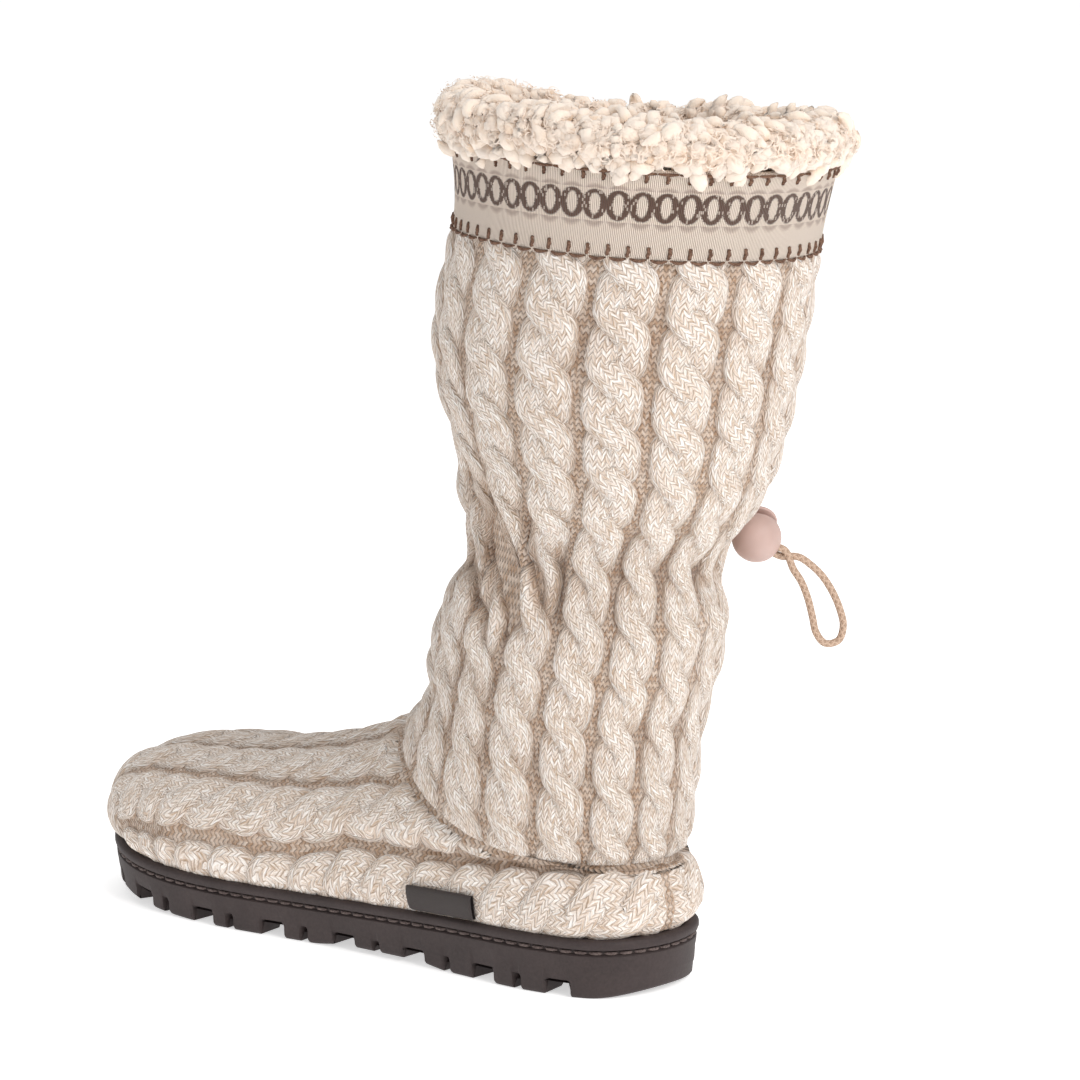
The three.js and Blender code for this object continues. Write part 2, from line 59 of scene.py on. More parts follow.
# Knit
SEAM_LEVEL = 7.0
FOOT_GAP = 0.3
CABLE_COLUMNS = 16
CABLE_FIRST_TURN = 9.0
CABLE_SHARE = 0.415
CABLE_CROSSING = 18.4
CABLE_HEIGHT = 2.8
FOOT_PITCH = 25.0
FOOT_SLOPE = 0.08
STITCH_ROW = 2.1
KNIT_THICKNESS = 3.2
CREASE_SHADE = 0.19
STRAND_ROOT = 0.5
CROSSING_REST = 0.18
CROSSING_SPAN = 0.64

# Sole outline, a value for each 22.5 degrees of turn from the heel's back to the toe.
OUTLINE_OUTER = [0, 26, 36, 37.5, 41, 48.5, 46, 27, -5]
OUTLINE_INNER = [0, -26, -35.5, -34.5, -35.5, -43, -47, -34, -5]

# Side of the sole from the top edge down: drop, set-back.
SOLE_SIDE = [
    (0.0, 2.0),
    (0.15, 1.0),
    (0.7, 0.25),
    (1.5, 0.0),
    (2.7, 0.0),
    (3.4, 0.3),
    (3.75, 1.0),
    (4.1, 1.9),
    (5.2, 1.9),
    (5.5, 1.2),
    (6.0, 0.75),
    (8.0, 0.9),
    (9.5, 1.2),
]

# Rings of the upper from the sole's edge to the top of the shaft.
UPPER_COLUMNS = ("back", "back_rise", "front", "front_rise", "widest", "outer", "inner", "outline", "breadth", "sag")
UPPER = [
    (-37.5, 0, 220, 0, 20, 36, 36, 1, 0.93, 1),
    (-39.8, 7, 224, 7, 20, 38, 38, 1, 1, 1),
    (-38.8, 14, 223, 14.5, 20, 38, 38, 1, 0.99, 1),
    (-37.6, 18.5, 214, 25, 25, 38, 38, 1, 0.95, 1.5),
    (-37, 21, 192, 34, 30, 38, 38, 0.85, 0.87, 1.8),
    (-36.8, 22.5, 152, 41, 30, 37, 37, 0.5, 0.86, 2.1),
    (-36.2, 23.5, 108, 51, 22, 37, 37, 0.1, 0.9, 2.4),
    (-35.5, 25, 80, 62, 16, 38, 38, 0, 1, 2.5),
    (-38.5, 46, 66, 74, 14, 40, 40, 0, 1, 1.7),
    (-40.5, 69, 57, 88, 10, 42, 42, 0, 1, 1.2),
    (-48.5, 100, 51, 112, 2, 44, 44, 0, 1, 1),
    (-49.5, 130, 42.5, 140, -3, 40, 40, 0, 1, 1),
    (-67, 157, 44, 166, -11, 48, 48, 0, 1, 1),
    (-77.5, 196, 53.5, 205, -12, 56.5, 56.5, 0, 1, 1),
    (-85.5, 243, 43.5, 249, -21, 56, 56, 0, 1, 1),
    (-92.5, 270, 44.5, 276, -24, 58.5, 58.5, 0, 1, 1),
]
UPPER_TABLE = {name: np.array([row[i] for row in UPPER], float) for i, name in enumerate(UPPER_COLUMNS)}

# Creases of the shaft, listed one by one: turn, height, half length round, half length up, tilt in degrees, depth.
CREASES = [
    (120, 170, 4.2, 24, 38, -5.6),
    (105, 160, 3.6, 22, 35, -5.8),
    (93, 151, 3.2, 19, 26, -6.2),
    (81, 152, 3.0, 17, 16, -5.4),
    (69, 150, 3.0, 16, 8, -3.8),
    (130, 152, 3.8, 18, 48, -5.0),
    (102, 139, 3.4, 15, 14, -5.4),
    (88, 137, 3.0, 14, 6, -4.6),
    (112, 165, 4.0, 18, 36, 2.4),
    (98, 156, 3.6, 16, 32, 2.2),
    (86, 152, 3.2, 15, 25, 2.0),
    (97, 146, 2.4, 13, 20, -4.0),
    (75, 146, 2.4, 12, 10, -3.4),
    (118, 149, 2.8, 14, 32, -4.2),
    (141, 160, 3.2, 16, 44, -4.0),
    (109, 176, 3.2, 16, 40, -3.2),
    (140, 118, 14, 12, 0, 2.2),
    (150, 170, 12, 10, 0, 2.2),
    (148, 148, 16, 8, -6, -3.6),
    (56, 148, 5, 20, 4, -1.8),
    (40, 150, 5, 18, -2, -1.6),
    (24, 148, 5, 18, -6, -1.6),
    (-8, 133, 16, 8, 0, 2.4),
    (-6, 148, 18, 6, 0, -2.4),
    (-24, 152, 6, 20, 0, -2.0),
    (-44, 150, 5, 20, 4, -2.4),
    (-62, 148, 5, 22, 0, -2.6),
    (-80, 150, 4, 20, -10, -3.0),
    (-98, 148, 4, 20, -20, -3.4),
    (-116, 146, 5, 20, -28, -3.4),
    (-136, 144, 5, 18, -36, -3.0),
    (-107, 146, 4, 16, -24, 2.2),
    (180, 126, 22, 7, 0, -2.2),
    (166, 110, 26, 7, -6, 1.8),
    (104, 112, 24, 7, -12, -1.8),
    (128, 96, 26, 7, -14, -1.4),
    (-140, 108, 26, 7, 10, -1.6),
    (10, 92, 22, 8, 0, -1.4),
    (70, 84, 26, 7, -10, -1.2),
    (60, 236, 22, 16, 20, -1.2),
    (128, 222, 16, 16, 24, -1.4),
    (0, 226, 24, 16, -10, -1.2),
    (-90, 226, 24, 18, 0, -1.4),
]


def smooth_step(value, low, high):
    part = np.clip((value - low) / (high - low), 0.0, 1.0)
    return part * part * (3 - 2 * part)


def between(before, start, end, after, part):
    """Smooth curve through four neighbouring values."""
    bend = part * part * (3 - 2 * part)
    leave = part * (1 - part) ** 2
    arrive = part * part * (1 - part)
    return start + (end - start) * bend + (end - before) / 2 * leave - (after - start) / 2 * arrive


def column_at(column, place):
    values = UPPER_TABLE[column]
    last = len(values) - 1
    index = np.clip(np.floor(place).astype(int), 0, last - 1)
    pick = lambda step: values[np.clip(index + step, 0, last)]
    return between(pick(-1), pick(0), pick(1), pick(2), place - index)


OUTLINE_ROUND = np.array(OUTLINE_OUTER + OUTLINE_INNER[-2:0:-1], float)


def outline_y(turn):
    count = len(OUTLINE_ROUND)
    place = np.mod(turn, 360.0) / (360.0 / count)
    index = np.floor(place).astype(int)
    pick = lambda step: OUTLINE_ROUND[(index + step) % count]
    return between(pick(-1), pick(0), pick(1), pick(2), place - index)


def outline_x(turn):
    return HEEL_BACK_X + SOLE_LENGTH * (1 - np.cos(np.radians(turn))) / 2


def outline_point(turn, inset):
    """A point of the sole's outline, set back from its edge."""
    along_x = outline_x(turn + 0.5) - outline_x(turn - 0.5)
    along_y = outline_y(turn + 0.5) - outline_y(turn - 0.5)
    size = np.hypot(along_x, along_y)
    return outline_x(turn) + along_y / size * inset, outline_y(turn) - along_x / size * inset


def toe_part(x):
    return np.maximum(0, (x - TOE_SPRING_FROM_X) / (HEEL_BACK_X + SOLE_LENGTH - TOE_SPRING_FROM_X))


def sole_top(x):
    step = smooth_step(x, -10.0, 115.0)
    return HEEL_THICKNESS + (BALL_THICKNESS - HEEL_THICKNESS) * step + TOE_SPRING_TOP * toe_part(x) ** 2


def sole_bottom(x):
    heel = np.maximum(0, (HEEL_BEVEL_FROM_X - x) / (HEEL_BEVEL_FROM_X - HEEL_BACK_X))
    return TOE_SPRING_BOTTOM * toe_part(x) ** 1.8 + HEEL_BEVEL * heel**2


def upper_face(level, turn):
    """The upper's smooth face at a level and turn, in millimetres."""
    level, turn = np.broadcast_arrays(np.asarray(level, float), np.asarray(turn, float))
    at = {name: column_at(name, level) for name in UPPER_COLUMNS}
    along = -np.cos(np.radians(turn))
    across = np.sin(np.radians(turn))
    reach = np.where(along < 0, at["widest"] - at["back"], at["front"] - at["widest"])
    egg_x = at["widest"] + along * reach
    egg_y = across * np.where(across > 0, at["outer"], at["inner"])
    sole_x = at["back"] + (at["front"] - at["back"]) * (1 + along) / 2
    sole_y = outline_y(turn) * at["breadth"]
    x = egg_x + (sole_x - egg_x) * at["outline"]
    y = egg_y + (sole_y - egg_y) * at["outline"]
    part = np.clip((x - at["back"]) / (at["front"] - at["back"]), 0, 1)
    rise = at["back_rise"] + (at["front_rise"] - at["back_rise"]) * part ** at["sag"]
    return np.stack([x, y, sole_top(x) + rise + FOOT_GAP], -1)


def unit(vectors):
    return vectors / np.maximum(np.linalg.norm(vectors, axis=-1, keepdims=True), 1e-9)


def upper_normal(level, turn):
    level, turn = np.broadcast_arrays(np.asarray(level, float), np.asarray(turn, float))
    low = np.maximum(level - 0.04, 0)
    high = np.minimum(level + 0.04, len(UPPER) - 1)
    up = upper_face(high, turn) - upper_face(low, turn)
    round_ = upper_face(level, turn + 0.5) - upper_face(level, turn - 0.5)
    return unit(np.cross(up, round_))


CREASE_RADIUS = 48.0


def crease_lift(level, turn, points):
    """How far the listed creases push the shaft's wall in or out."""
    lift = np.zeros(points.shape[:-1])
    for centre, height, reach_round, reach_up, tilt, depth in CREASES:
        swing = np.mod(turn - centre + 180, 360) - 180
        side = np.radians(swing) * CREASE_RADIUS
        rise = points[..., 2] - height
        lean = math.radians(tilt)
        across = side * math.cos(lean) - rise * math.sin(lean)
        along = side * math.sin(lean) + rise * math.cos(lean)
        lift += depth * np.exp(-((across / reach_round) ** 2) - (along / reach_up) ** 2)
    return lift * smooth_step(level, 7.1, 8.2) * (1 - smooth_step(level, 13.2, 13.9))


# Meshes


def deselect_all():
    bpy.ops.object.select_all(action="DESELECT")


def select_only(obj):
    deselect_all()
    obj.select_set(True)
    bpy.context.view_layer.objects.active = obj


def edit_mesh(obj, *steps):
    """Run mesh tools on a piece in edit mode, each with its settings."""
    select_only(obj)
    bpy.ops.object.mode_set(mode="EDIT")
    for tool, settings in steps:
        tool(**settings)
    bpy.ops.object.mode_set(mode="OBJECT")


SELECT_ALL = (bpy.ops.mesh.select_all, {"action": "SELECT"})
SELECT_NONE = (bpy.ops.mesh.select_all, {"action": "DESELECT"})
SELECT_OPEN_EDGES = (bpy.ops.mesh.select_non_manifold, {})
FACE_OUTWARD = (bpy.ops.mesh.normals_make_consistent, {"inside": False})


def round_turns(count):
    return np.linspace(0, 360, count, endpoint=False)


def piece_from(name, points, faces):
    """A smooth mesh object from points in millimetres and faces of equal size."""
    faces = np.asarray(faces, np.int64)
    size = faces.shape[1]
    mesh = bpy.data.meshes.new(name)
    points = np.asarray(points, float).reshape(-1, 3)
    mesh.vertices.add(len(points))
    mesh.vertices.foreach_set("co", (points * MM).ravel())
    mesh.loops.add(faces.size)
    mesh.loops.foreach_set("vertex_index", faces.ravel())
    mesh.polygons.add(len(faces))
    mesh.polygons.foreach_set("loop_start", np.arange(len(faces)) * size)
    mesh.update(calc_edges=True)
    mesh.validate()
    mesh.polygons.foreach_set("use_smooth", np.ones(len(mesh.polygons), bool))
    obj = bpy.data.objects.new(name, mesh)
    bpy.context.scene.collection.objects.link(obj)
    return obj


def grid_faces(rows, columns, wrap_rows=False, wrap_columns=True):
    """Quads of a grid whose rows run up the outside and whose columns run round it."""
    low_rows = np.arange(rows if wrap_rows else rows - 1)
    low_columns = np.arange(columns if wrap_columns else columns - 1)
    row, column = np.meshgrid(low_rows, low_columns, indexing="ij")
    next_row = (row + 1) % rows
    next_column = (column + 1) % columns
    corners = ((row, column), (next_row, column), (next_row, next_column), (row, next_column))
    return np.stack([(r * columns + c).ravel() for r, c in corners], 1)


def set_uv(obj, per_point):
    """A UV map from one pair for each vertex."""
    mesh = obj.data
    layer = mesh.uv_layers.new(name="stitches")
    index = np.empty(len(mesh.loops), np.int64)
    mesh.loops.foreach_get("vertex_index", index)
    layer.data.foreach_set("uv", np.asarray(per_point, float).reshape(-1, 2)[index].ravel())


def set_value(obj, name, per_point):
    layer = obj.data.attributes.new(name, "FLOAT", "POINT")
    layer.data.foreach_set("value", np.asarray(per_point, float).ravel())


def dress(obj, material, body="boot"):
    obj.data.materials.clear()
    obj.data.materials.append(material)
    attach(obj, body)
    return obj


STRAND_UV_APART = 3.7


def tubes(name, paths, radii, sides=6):
    """Round-ended strands joined in one mesh: paths is strand by step by xyz, radii strand by step."""
    paths = np.asarray(paths, float)
    strands, steps, _ = paths.shape
    radii = np.broadcast_to(radii, (strands, steps))
    ahead = unit(np.gradient(paths, axis=1))
    helper = np.where(np.abs(ahead[..., 2:3]) < 0.9, np.array([0.0, 0.0, 1.0]), np.array([1.0, 0.0, 0.0]))
    side = unit(np.cross(ahead, helper))
    over = np.cross(side, ahead)
    angles = 2 * np.pi * np.arange(sides) / sides
    ring = np.cos(angles)[:, None] * side[:, :, None, :] + np.sin(angles)[:, None] * over[:, :, None, :]
    points = paths[:, :, None, :] + ring * radii[:, :, None, None]
    faces = grid_faces(steps, sides)[:, ::-1]
    per_strand = steps * sides
    all_faces = (faces[None] + per_strand * np.arange(strands)[:, None, None]).reshape(-1, 4)
    points = points.reshape(-1, 3)
    low_ends = paths[:, 0] - ahead[:, 0] * radii[:, 0:1] * 0.5
    high_ends = paths[:, -1] + ahead[:, -1] * radii[:, -1:] * 0.5
    ends = np.concatenate([low_ends, high_ends])
    first = len(points)
    start = np.arange(strands)[:, None] * per_strand + np.arange(sides)[None]
    turn = np.roll(start, -1, axis=1)
    low_tip = np.broadcast_to(first + np.arange(strands)[:, None], start.shape)
    caps_low = np.stack([low_tip, start, turn, turn], -1)
    finish = start + (steps - 1) * sides
    turn_end = np.roll(finish, -1, axis=1)
    high_tip = np.broadcast_to(first + strands + np.arange(strands)[:, None], start.shape)
    caps_high = np.stack([high_tip, turn_end, finish, finish], -1)
    triangles = np.concatenate([caps_low.reshape(-1, 4), caps_high.reshape(-1, 4)])[:, :3]
    quads = np.concatenate([all_faces[:, [0, 1, 2]], all_faces[:, [0, 2, 3]]])
    obj = piece_from(name, np.concatenate([points, ends]), np.concatenate([quads, triangles]))
    around = np.minimum(np.arange(sides), sides - np.arange(sides)) / sides * 2
    apart = STRAND_UV_APART * np.arange(strands)
    along = np.arange(steps)[:, None] / steps
    place = np.stack(np.broadcast_arrays(around + apart[:, None, None], along), -1)
    tips = np.stack([np.tile(apart + 0.5, 2), np.repeat([0.0, 1.0], strands)], -1)
    set_uv(obj, np.concatenate([place.reshape(-1, 2), tips]))
    return obj


# Materials


def reckon(operation, *values):
    """A sum of node values and numbers."""
    tree = next(value.tree for value in values if isinstance(value, Wire))
    return Wire(tree, put(tree, "ShaderNodeMath", dict(enumerate(values)), operation=operation).outputs[0])


class Wire:
    """A value in a node tree that can be reckoned with like a number."""

    def __init__(self, tree, socket):
        self.tree = tree
        self.socket = socket

    def __add__(self, other):
        return reckon("ADD", self, other)

    def __sub__(self, other):
        return reckon("SUBTRACT", self, other)

    def __rsub__(self, other):
        return reckon("SUBTRACT", other, self)

    def __mul__(self, other):
        return reckon("MULTIPLY", self, other)

    def __truediv__(self, other):
        return reckon("DIVIDE", self, other)

    def __pow__(self, other):
        return reckon("POWER", self, other)

    def __abs__(self):
        return reckon("ABSOLUTE", self)


def feed(tree, value, socket):
    """Link a value to a socket, or set it there."""
    if isinstance(value, Wire):
        value = value.socket
    if isinstance(value, bpy.types.NodeSocket):
        tree.links.new(value, socket)
    else:
        socket.default_value = value


def put(tree, kind, values=None, **settings):
    """A node with its settings, and with its inputs set or linked."""
    node = tree.nodes.new(kind)
    for name, value in settings.items():
        setattr(node, name, value)
    for name, value in (values or {}).items():
        feed(tree, value, node.inputs[name])
    return node


def noise(tree, place, scale, detail, **more):
    values = {"Vector": place, "Scale": scale, "Detail": detail, **more}
    return Wire(tree, put(tree, "ShaderNodeTexNoise", values).outputs["Fac"])


def chance_of(tree, across, up):
    """A chance value for each cell."""
    cell = put(tree, "ShaderNodeCombineXYZ", {0: across, 1: up})
    values = {"Vector": cell.outputs[0]}
    return Wire(tree, put(tree, "ShaderNodeTexWhiteNoise", values, noise_dimensions="3D").outputs[0])


def across_and_up(tree, place):
    parts = put(tree, "ShaderNodeSeparateXYZ", {0: place})
    return Wire(tree, parts.outputs[0]), Wire(tree, parts.outputs[1])


def wave(value):
    return reckon("SINE", value * math.pi)


def stitch_place(tree):
    return put(tree, "ShaderNodeUVMap", uv_map="stitches").outputs[0]


def object_place(tree):
    return put(tree, "ShaderNodeTexCoord").outputs["Object"]


def painted(tree, name):
    return Wire(tree, put(tree, "ShaderNodeAttribute", attribute_name=name).outputs["Fac"])


def relief(tree, shader, height, strength, depth):
    """Relief of the given depth in millimetres."""
    bump = put(tree, "ShaderNodeBump", {"Height": height, "Strength": strength, "Distance": depth * MM})
    feed(tree, bump.outputs[0], shader.inputs["Normal"])


def blend_colour(tree, factor, first, second, mode="MIX"):
    node = put(tree, "ShaderNodeMix", data_type="RGBA", blend_type=mode)
    for place, value in ((0, factor), (6, first), (7, second)):
        feed(tree, value, node.inputs[place])
    return node.outputs[2]


def ramp(tree, factor, stops):
    node = put(tree, "ShaderNodeValToRGB", {"Fac": factor})
    band = node.color_ramp
    while len(band.elements) < len(stops):
        band.elements.new(0.5)
    for element, (place, colour) in zip(band.elements, stops):
        element.position = place
        element.color = colour
    return node.outputs["Color"]


def srgb(red, green, blue):
    """A colour named by its 0 to 255 screen values."""
    turn = lambda value: value / 12.92 if value <= 0.04045 else ((value + 0.055) / 1.055) ** 2.4
    return (*(turn(value / 255) for value in (red, green, blue)), 1.0)


def new_group(name, given, outputs):
    """A node group with one place going in and named values coming out."""
    group = bpy.data.node_groups.new(name, "ShaderNodeTree")
    group.interface.new_socket(name=given, in_out="INPUT", socket_type="NodeSocketVector")
    for socket in outputs:
        group.interface.new_socket(name=socket, in_out="OUTPUT", socket_type="NodeSocketFloat")
    return group, group.nodes.new("NodeGroupInput").outputs[0], group.nodes.new("NodeGroupOutput")


def use_group(tree, group):
    """A group's values at the piece's own stitches, by name."""
    node = put(tree, "ShaderNodeGroup", {0: stitch_place(tree)}, node_tree=group)
    return {output.name: Wire(tree, output) for output in node.outputs}


def new_material(name, settings):
    """A material of one shader with its plain settings."""
    material = bpy.data.materials.new(name)
    material.use_nodes = True
    tree = material.node_tree
    tree.nodes.clear()
    shader = put(tree, "ShaderNodeBsdfPrincipled", settings)
    put(tree, "ShaderNodeOutputMaterial", {0: shader.outputs[0]})
    return material, tree, shader


def yarn_group():
    """Rows of knitted V stitches: their relief and a heathered tone for each yarn."""
    group, place, made = new_group("Knit stitch", "Stitches", ("Relief", "Tone"))
    drift = put(group, "ShaderNodeTexNoise", {"Vector": place, "Scale": 0.55, "Detail": 2.0})
    middle = (0.5, 0.5, 0.5)
    sway = put(group, "ShaderNodeVectorMath", {0: drift.outputs["Color"], 1: middle}, operation="SUBTRACT")
    shift = {0: sway.outputs[0], 1: (0.5, 1.0, 0.0), 2: place}
    swayed = put(group, "ShaderNodeVectorMath", shift, operation="MULTIPLY_ADD")
    wale, row = across_and_up(group, swayed.outputs[0])
    side = abs(reckon("FRACT", wale) - 0.5) * 2.0
    lean = row - side * 1.05
    leg = wave(reckon("FRACT", lean)) ** 0.6
    edge = side**5.0 * -0.6 + 1.0
    point = (1.0 - side) ** 5.0 * -0.45 + 1.0
    half_wale = reckon("FLOOR", wale * 2.0)
    strand = put(group, "ShaderNodeCombineXYZ", {0: half_wale * 7.3 + side, 1: lean * 1.9})
    fibre = noise(group, strand.outputs[0], 1.0, 4.0, Roughness=0.7)
    chance = chance_of(group, half_wale, reckon("FLOOR", lean))
    feed(group, leg * (edge * point), made.inputs["Relief"])
    feed(group, chance * 0.24 + ((fibre - 0.5) * 2.1 + 0.5) * 0.76, made.inputs["Tone"])
    return group


def purl_group():
    """The wrong side of the knit between the cables: wavy rows of bumps."""
    group, place, made = new_group("Purl row", "Stitches", ("Relief", "Tone"))
    wale, row = across_and_up(group, place)
    line = reckon("COSINE", wale * (2 * math.pi)) * 0.24 + row
    chance = chance_of(group, reckon("FLOOR", wale * 2.0), reckon("FLOOR", line))
    feed(group, abs(wave(line)) ** 0.7, made.inputs["Relief"])
    feed(group, chance * 0.45 + noise(group, place, 3.0, 3.0, Roughness=0.6) * 0.55, made.inputs["Tone"])
    return group


CREAM = srgb(250, 245, 240)
OATMEAL = srgb(227, 212, 199)
TAN = srgb(191, 164, 139)
# Painted shade: the brown that the low parts of each stitch, the gaps between stitches, are blended towards.
STITCH_GAP_SHADE = srgb(166, 140, 118)
# Painted shade for the deepest creases of the shaft.
CREASE_PAINTED_SHADE = srgb(128, 104, 88)
GUTTER_SHADE = srgb(218, 205, 194)
BLACK = (0, 0, 0, 1)
WHITE = (1, 1, 1, 1)


def knit_material(name, group, depth):
    settings = {"Roughness": 0.92, "Sheen Weight": 0.25, "Sheen Roughness": 0.5, "Specular IOR Level": 0.2}
    material, tree, shader = new_material(name, settings)
    yarn = use_group(tree, group)
    coat = ramp(tree, yarn["Tone"], [(0.22, TAN), (0.48, OATMEAL), (0.72, CREAM)])
    # Painted shade: the gaps between stitches are darkened towards a brown.
    gap_shade_mask = ramp(tree, yarn["Relief"], [(0.0, BLACK), (0.42, WHITE)])
    # Painted shade: the crest value, made from each strand's height and the creases' depth, darkens strand edges, the
    # gutters between cables and the creases, and leaves the strand tops light.
    crest = painted(tree, "crest") * 0.5 + 0.5
    shade = ramp(tree, crest, [(0.12, CREASE_PAINTED_SHADE), (0.5, GUTTER_SHADE), (0.8, WHITE)])
    colour = blend_colour(tree, 1.0, blend_colour(tree, gap_shade_mask, STITCH_GAP_SHADE, coat), shade, "MULTIPLY")
    feed(tree, colour, shader.inputs["Base Color"])
    hair = noise(tree, object_place(tree), 2600.0, 2.0)
    relief(tree, shader, hair * 0.22 + yarn["Relief"], 1.0, depth)
    return material


CABLE_KNIT = knit_material("cable_knit", yarn_group(), 0.5)
PURL_KNIT = knit_material("purl_knit", purl_group(), 0.6)


# Camera, light and floor

deselect_all()
bpy.ops.mesh.primitive_circle_add(vertices=64, radius=30.0, fill_type="NGON", location=(0, 0, 0))
floor = bpy.context.object
floor.name = "studio_floor"
floor_look = {
    "Base Color": srgb(250, 250, 250),
    "Roughness": 0.8,
    "Emission Color": WHITE,
    "Emission Strength": 0.55,
}
floor.data.materials.append(new_material("studio_floor_paint", floor_look)[0])

CAMERA_PLACE = Vector((-1.021, 1.168, 0.422))
CAMERA_AIM = Vector((0.026, -0.004, 0.152))
lens = bpy.data.cameras.new("camera")
lens.sensor_width = 36.0
lens.lens = 150.0
camera = bpy.data.objects.new("camera", lens)
camera.location = CAMERA_PLACE
CAMERA_LEVEL = Vector((0.68368, -0.70797, -0.17708)).to_track_quat("-Z", "Y")
aim = (CAMERA_AIM - CAMERA_PLACE).normalized()
camera.rotation_euler = ((CAMERA_LEVEL @ Vector((0, 0, -1))).rotation_difference(aim) @ CAMERA_LEVEL).to_euler()
bpy.context.scene.collection.objects.link(camera)
bpy.context.scene.camera = camera


def soft_light(name, place, aim, size, power, tint=(1, 1, 1)):
    data = bpy.data.lights.new(name, "AREA")
    data.shape = "SQUARE"
    data.size = size
    data.energy = power
    data.color = tint
    obj = bpy.data.objects.new(name, data)
    obj.location = place
    obj.rotation_euler = (Vector(aim) - Vector(place)).to_track_quat("-Z", "Y").to_euler()
    bpy.context.scene.collection.objects.link(obj)


soft_light("key", (-1.9, 0.3, 1.6), (0, 0, 0.15), 1.1, 32, (1.0, 0.985, 0.97))
soft_light("fill", (0.5, 1.9, 0.9), (0, 0, 0.15), 1.4, 2)
soft_light("top", (0.1, -0.2, 2.2), (0, 0, 0.1), 1.6, 11)
world = bpy.data.worlds.new("studio_air")
world.use_nodes = True
air = world.node_tree.nodes["Background"]
air.inputs["Color"].default_value = WHITE
air.inputs["Strength"].default_value = 0.5
bpy.context.scene.world = world
bpy.context.scene.view_settings.view_transform = "Standard"


# Knitted shaft

SHAFT_FROM = SEAM_LEVEL - 0.03
SHAFT_TO = 13.97


def mean_height(levels):
    """Mean length up the wall to each level, over all turns."""
    turns = np.arange(0, 360, 10.0)
    points = upper_face(levels[:, None], turns[None])
    steps = np.linalg.norm(np.diff(points, axis=0), axis=-1).mean(1)
    return np.concatenate([[0.0], np.cumsum(steps)])


SHAFT_LEVELS = np.linspace(SHAFT_FROM, SHAFT_TO, 500)
SHAFT_LENGTHS = mean_height(SHAFT_LEVELS)


def shaft_crease(turn, length):
    """How deep the creases are, for the painted shade that gathers in them."""
    level = np.interp(length, SHAFT_LENGTHS, SHAFT_LEVELS)
    return crease_lift(level, turn, upper_face(level, turn))


def shaft_point(turn, length, lift):
    """A point on the shaft's wall by turn and length up the wall, lifted off it."""
    level = np.interp(length, SHAFT_LENGTHS, SHAFT_LEVELS)
    face = upper_face(level, turn)
    normal = upper_normal(level, turn)
    tuck = -1.2 * np.exp(-((length / 3.0) ** 2))
    return face + normal * (lift + tuck + crease_lift(level, turn, face))[..., None]


def shaft_pitch(length):
    level = np.interp(length, SHAFT_LENGTHS, SHAFT_LEVELS)
    turns = np.arange(0, 360, 15.0)
    ring = upper_face(np.atleast_1d(level)[..., None], turns)
    girth = np.linalg.norm(np.roll(ring, -1, axis=-2) - ring, axis=-1).sum(-1)
    return girth / CABLE_COLUMNS


def shaft_ground():
    turns = 224
    rows = 150
    lengths = np.linspace(0, SHAFT_LENGTHS[-1], rows)
    turn = round_turns(turns)
    outside = shaft_point(turn[None], lengths[:, None], np.zeros((rows, turns)))
    inner_levels = np.linspace(SHAFT_TO, SHAFT_FROM, 24)
    place = inner_levels[:, None], turn[None]
    inner = upper_face(*place) - KNIT_THICKNESS * upper_normal(*place)
    points = np.concatenate([outside, inner])
    obj = piece_from("knit_shaft_ground", points, grid_faces(len(points), turns, wrap_rows=True))
    wale = np.abs(np.mod(turn * 2, 720) - 360) / 360 * CABLE_COLUMNS * 6
    uv = np.zeros((rows + len(inner_levels), turns, 2))
    uv[..., 0] = wale[None]
    uv[:rows, :, 1] = lengths[:, None] / STITCH_ROW
    uv[rows:, :, 1] = np.linspace(0, 60, len(inner_levels))[:, None]
    set_uv(obj, uv)
    # Painted shade: the purl ground is held at gutter shade and goes darker in the creases.
    crest = np.zeros((rows + len(inner_levels), turns))
    crest[:rows] = np.minimum(shaft_crease(turn[None], lengths[:, None]) * CREASE_SHADE, 0.1)
    set_value(obj, "crest", crest)
    return obj


def crossing(along):
    """Where the upper strand of a cable lies between its edges, -1 to 1, how fast it moves, and how far it swells."""
    period = np.floor(along / CABLE_CROSSING)
    part = along / CABLE_CROSSING - period
    bend = np.clip((part - CROSSING_REST) / CROSSING_SPAN, 0, 1)
    place = -1 + 2 * bend * bend * (3 - 2 * bend)
    speed = 2 * 6 * bend * (1 - bend) / CROSSING_SPAN / CABLE_CROSSING
    return period, place, speed, np.sin(np.pi * part)


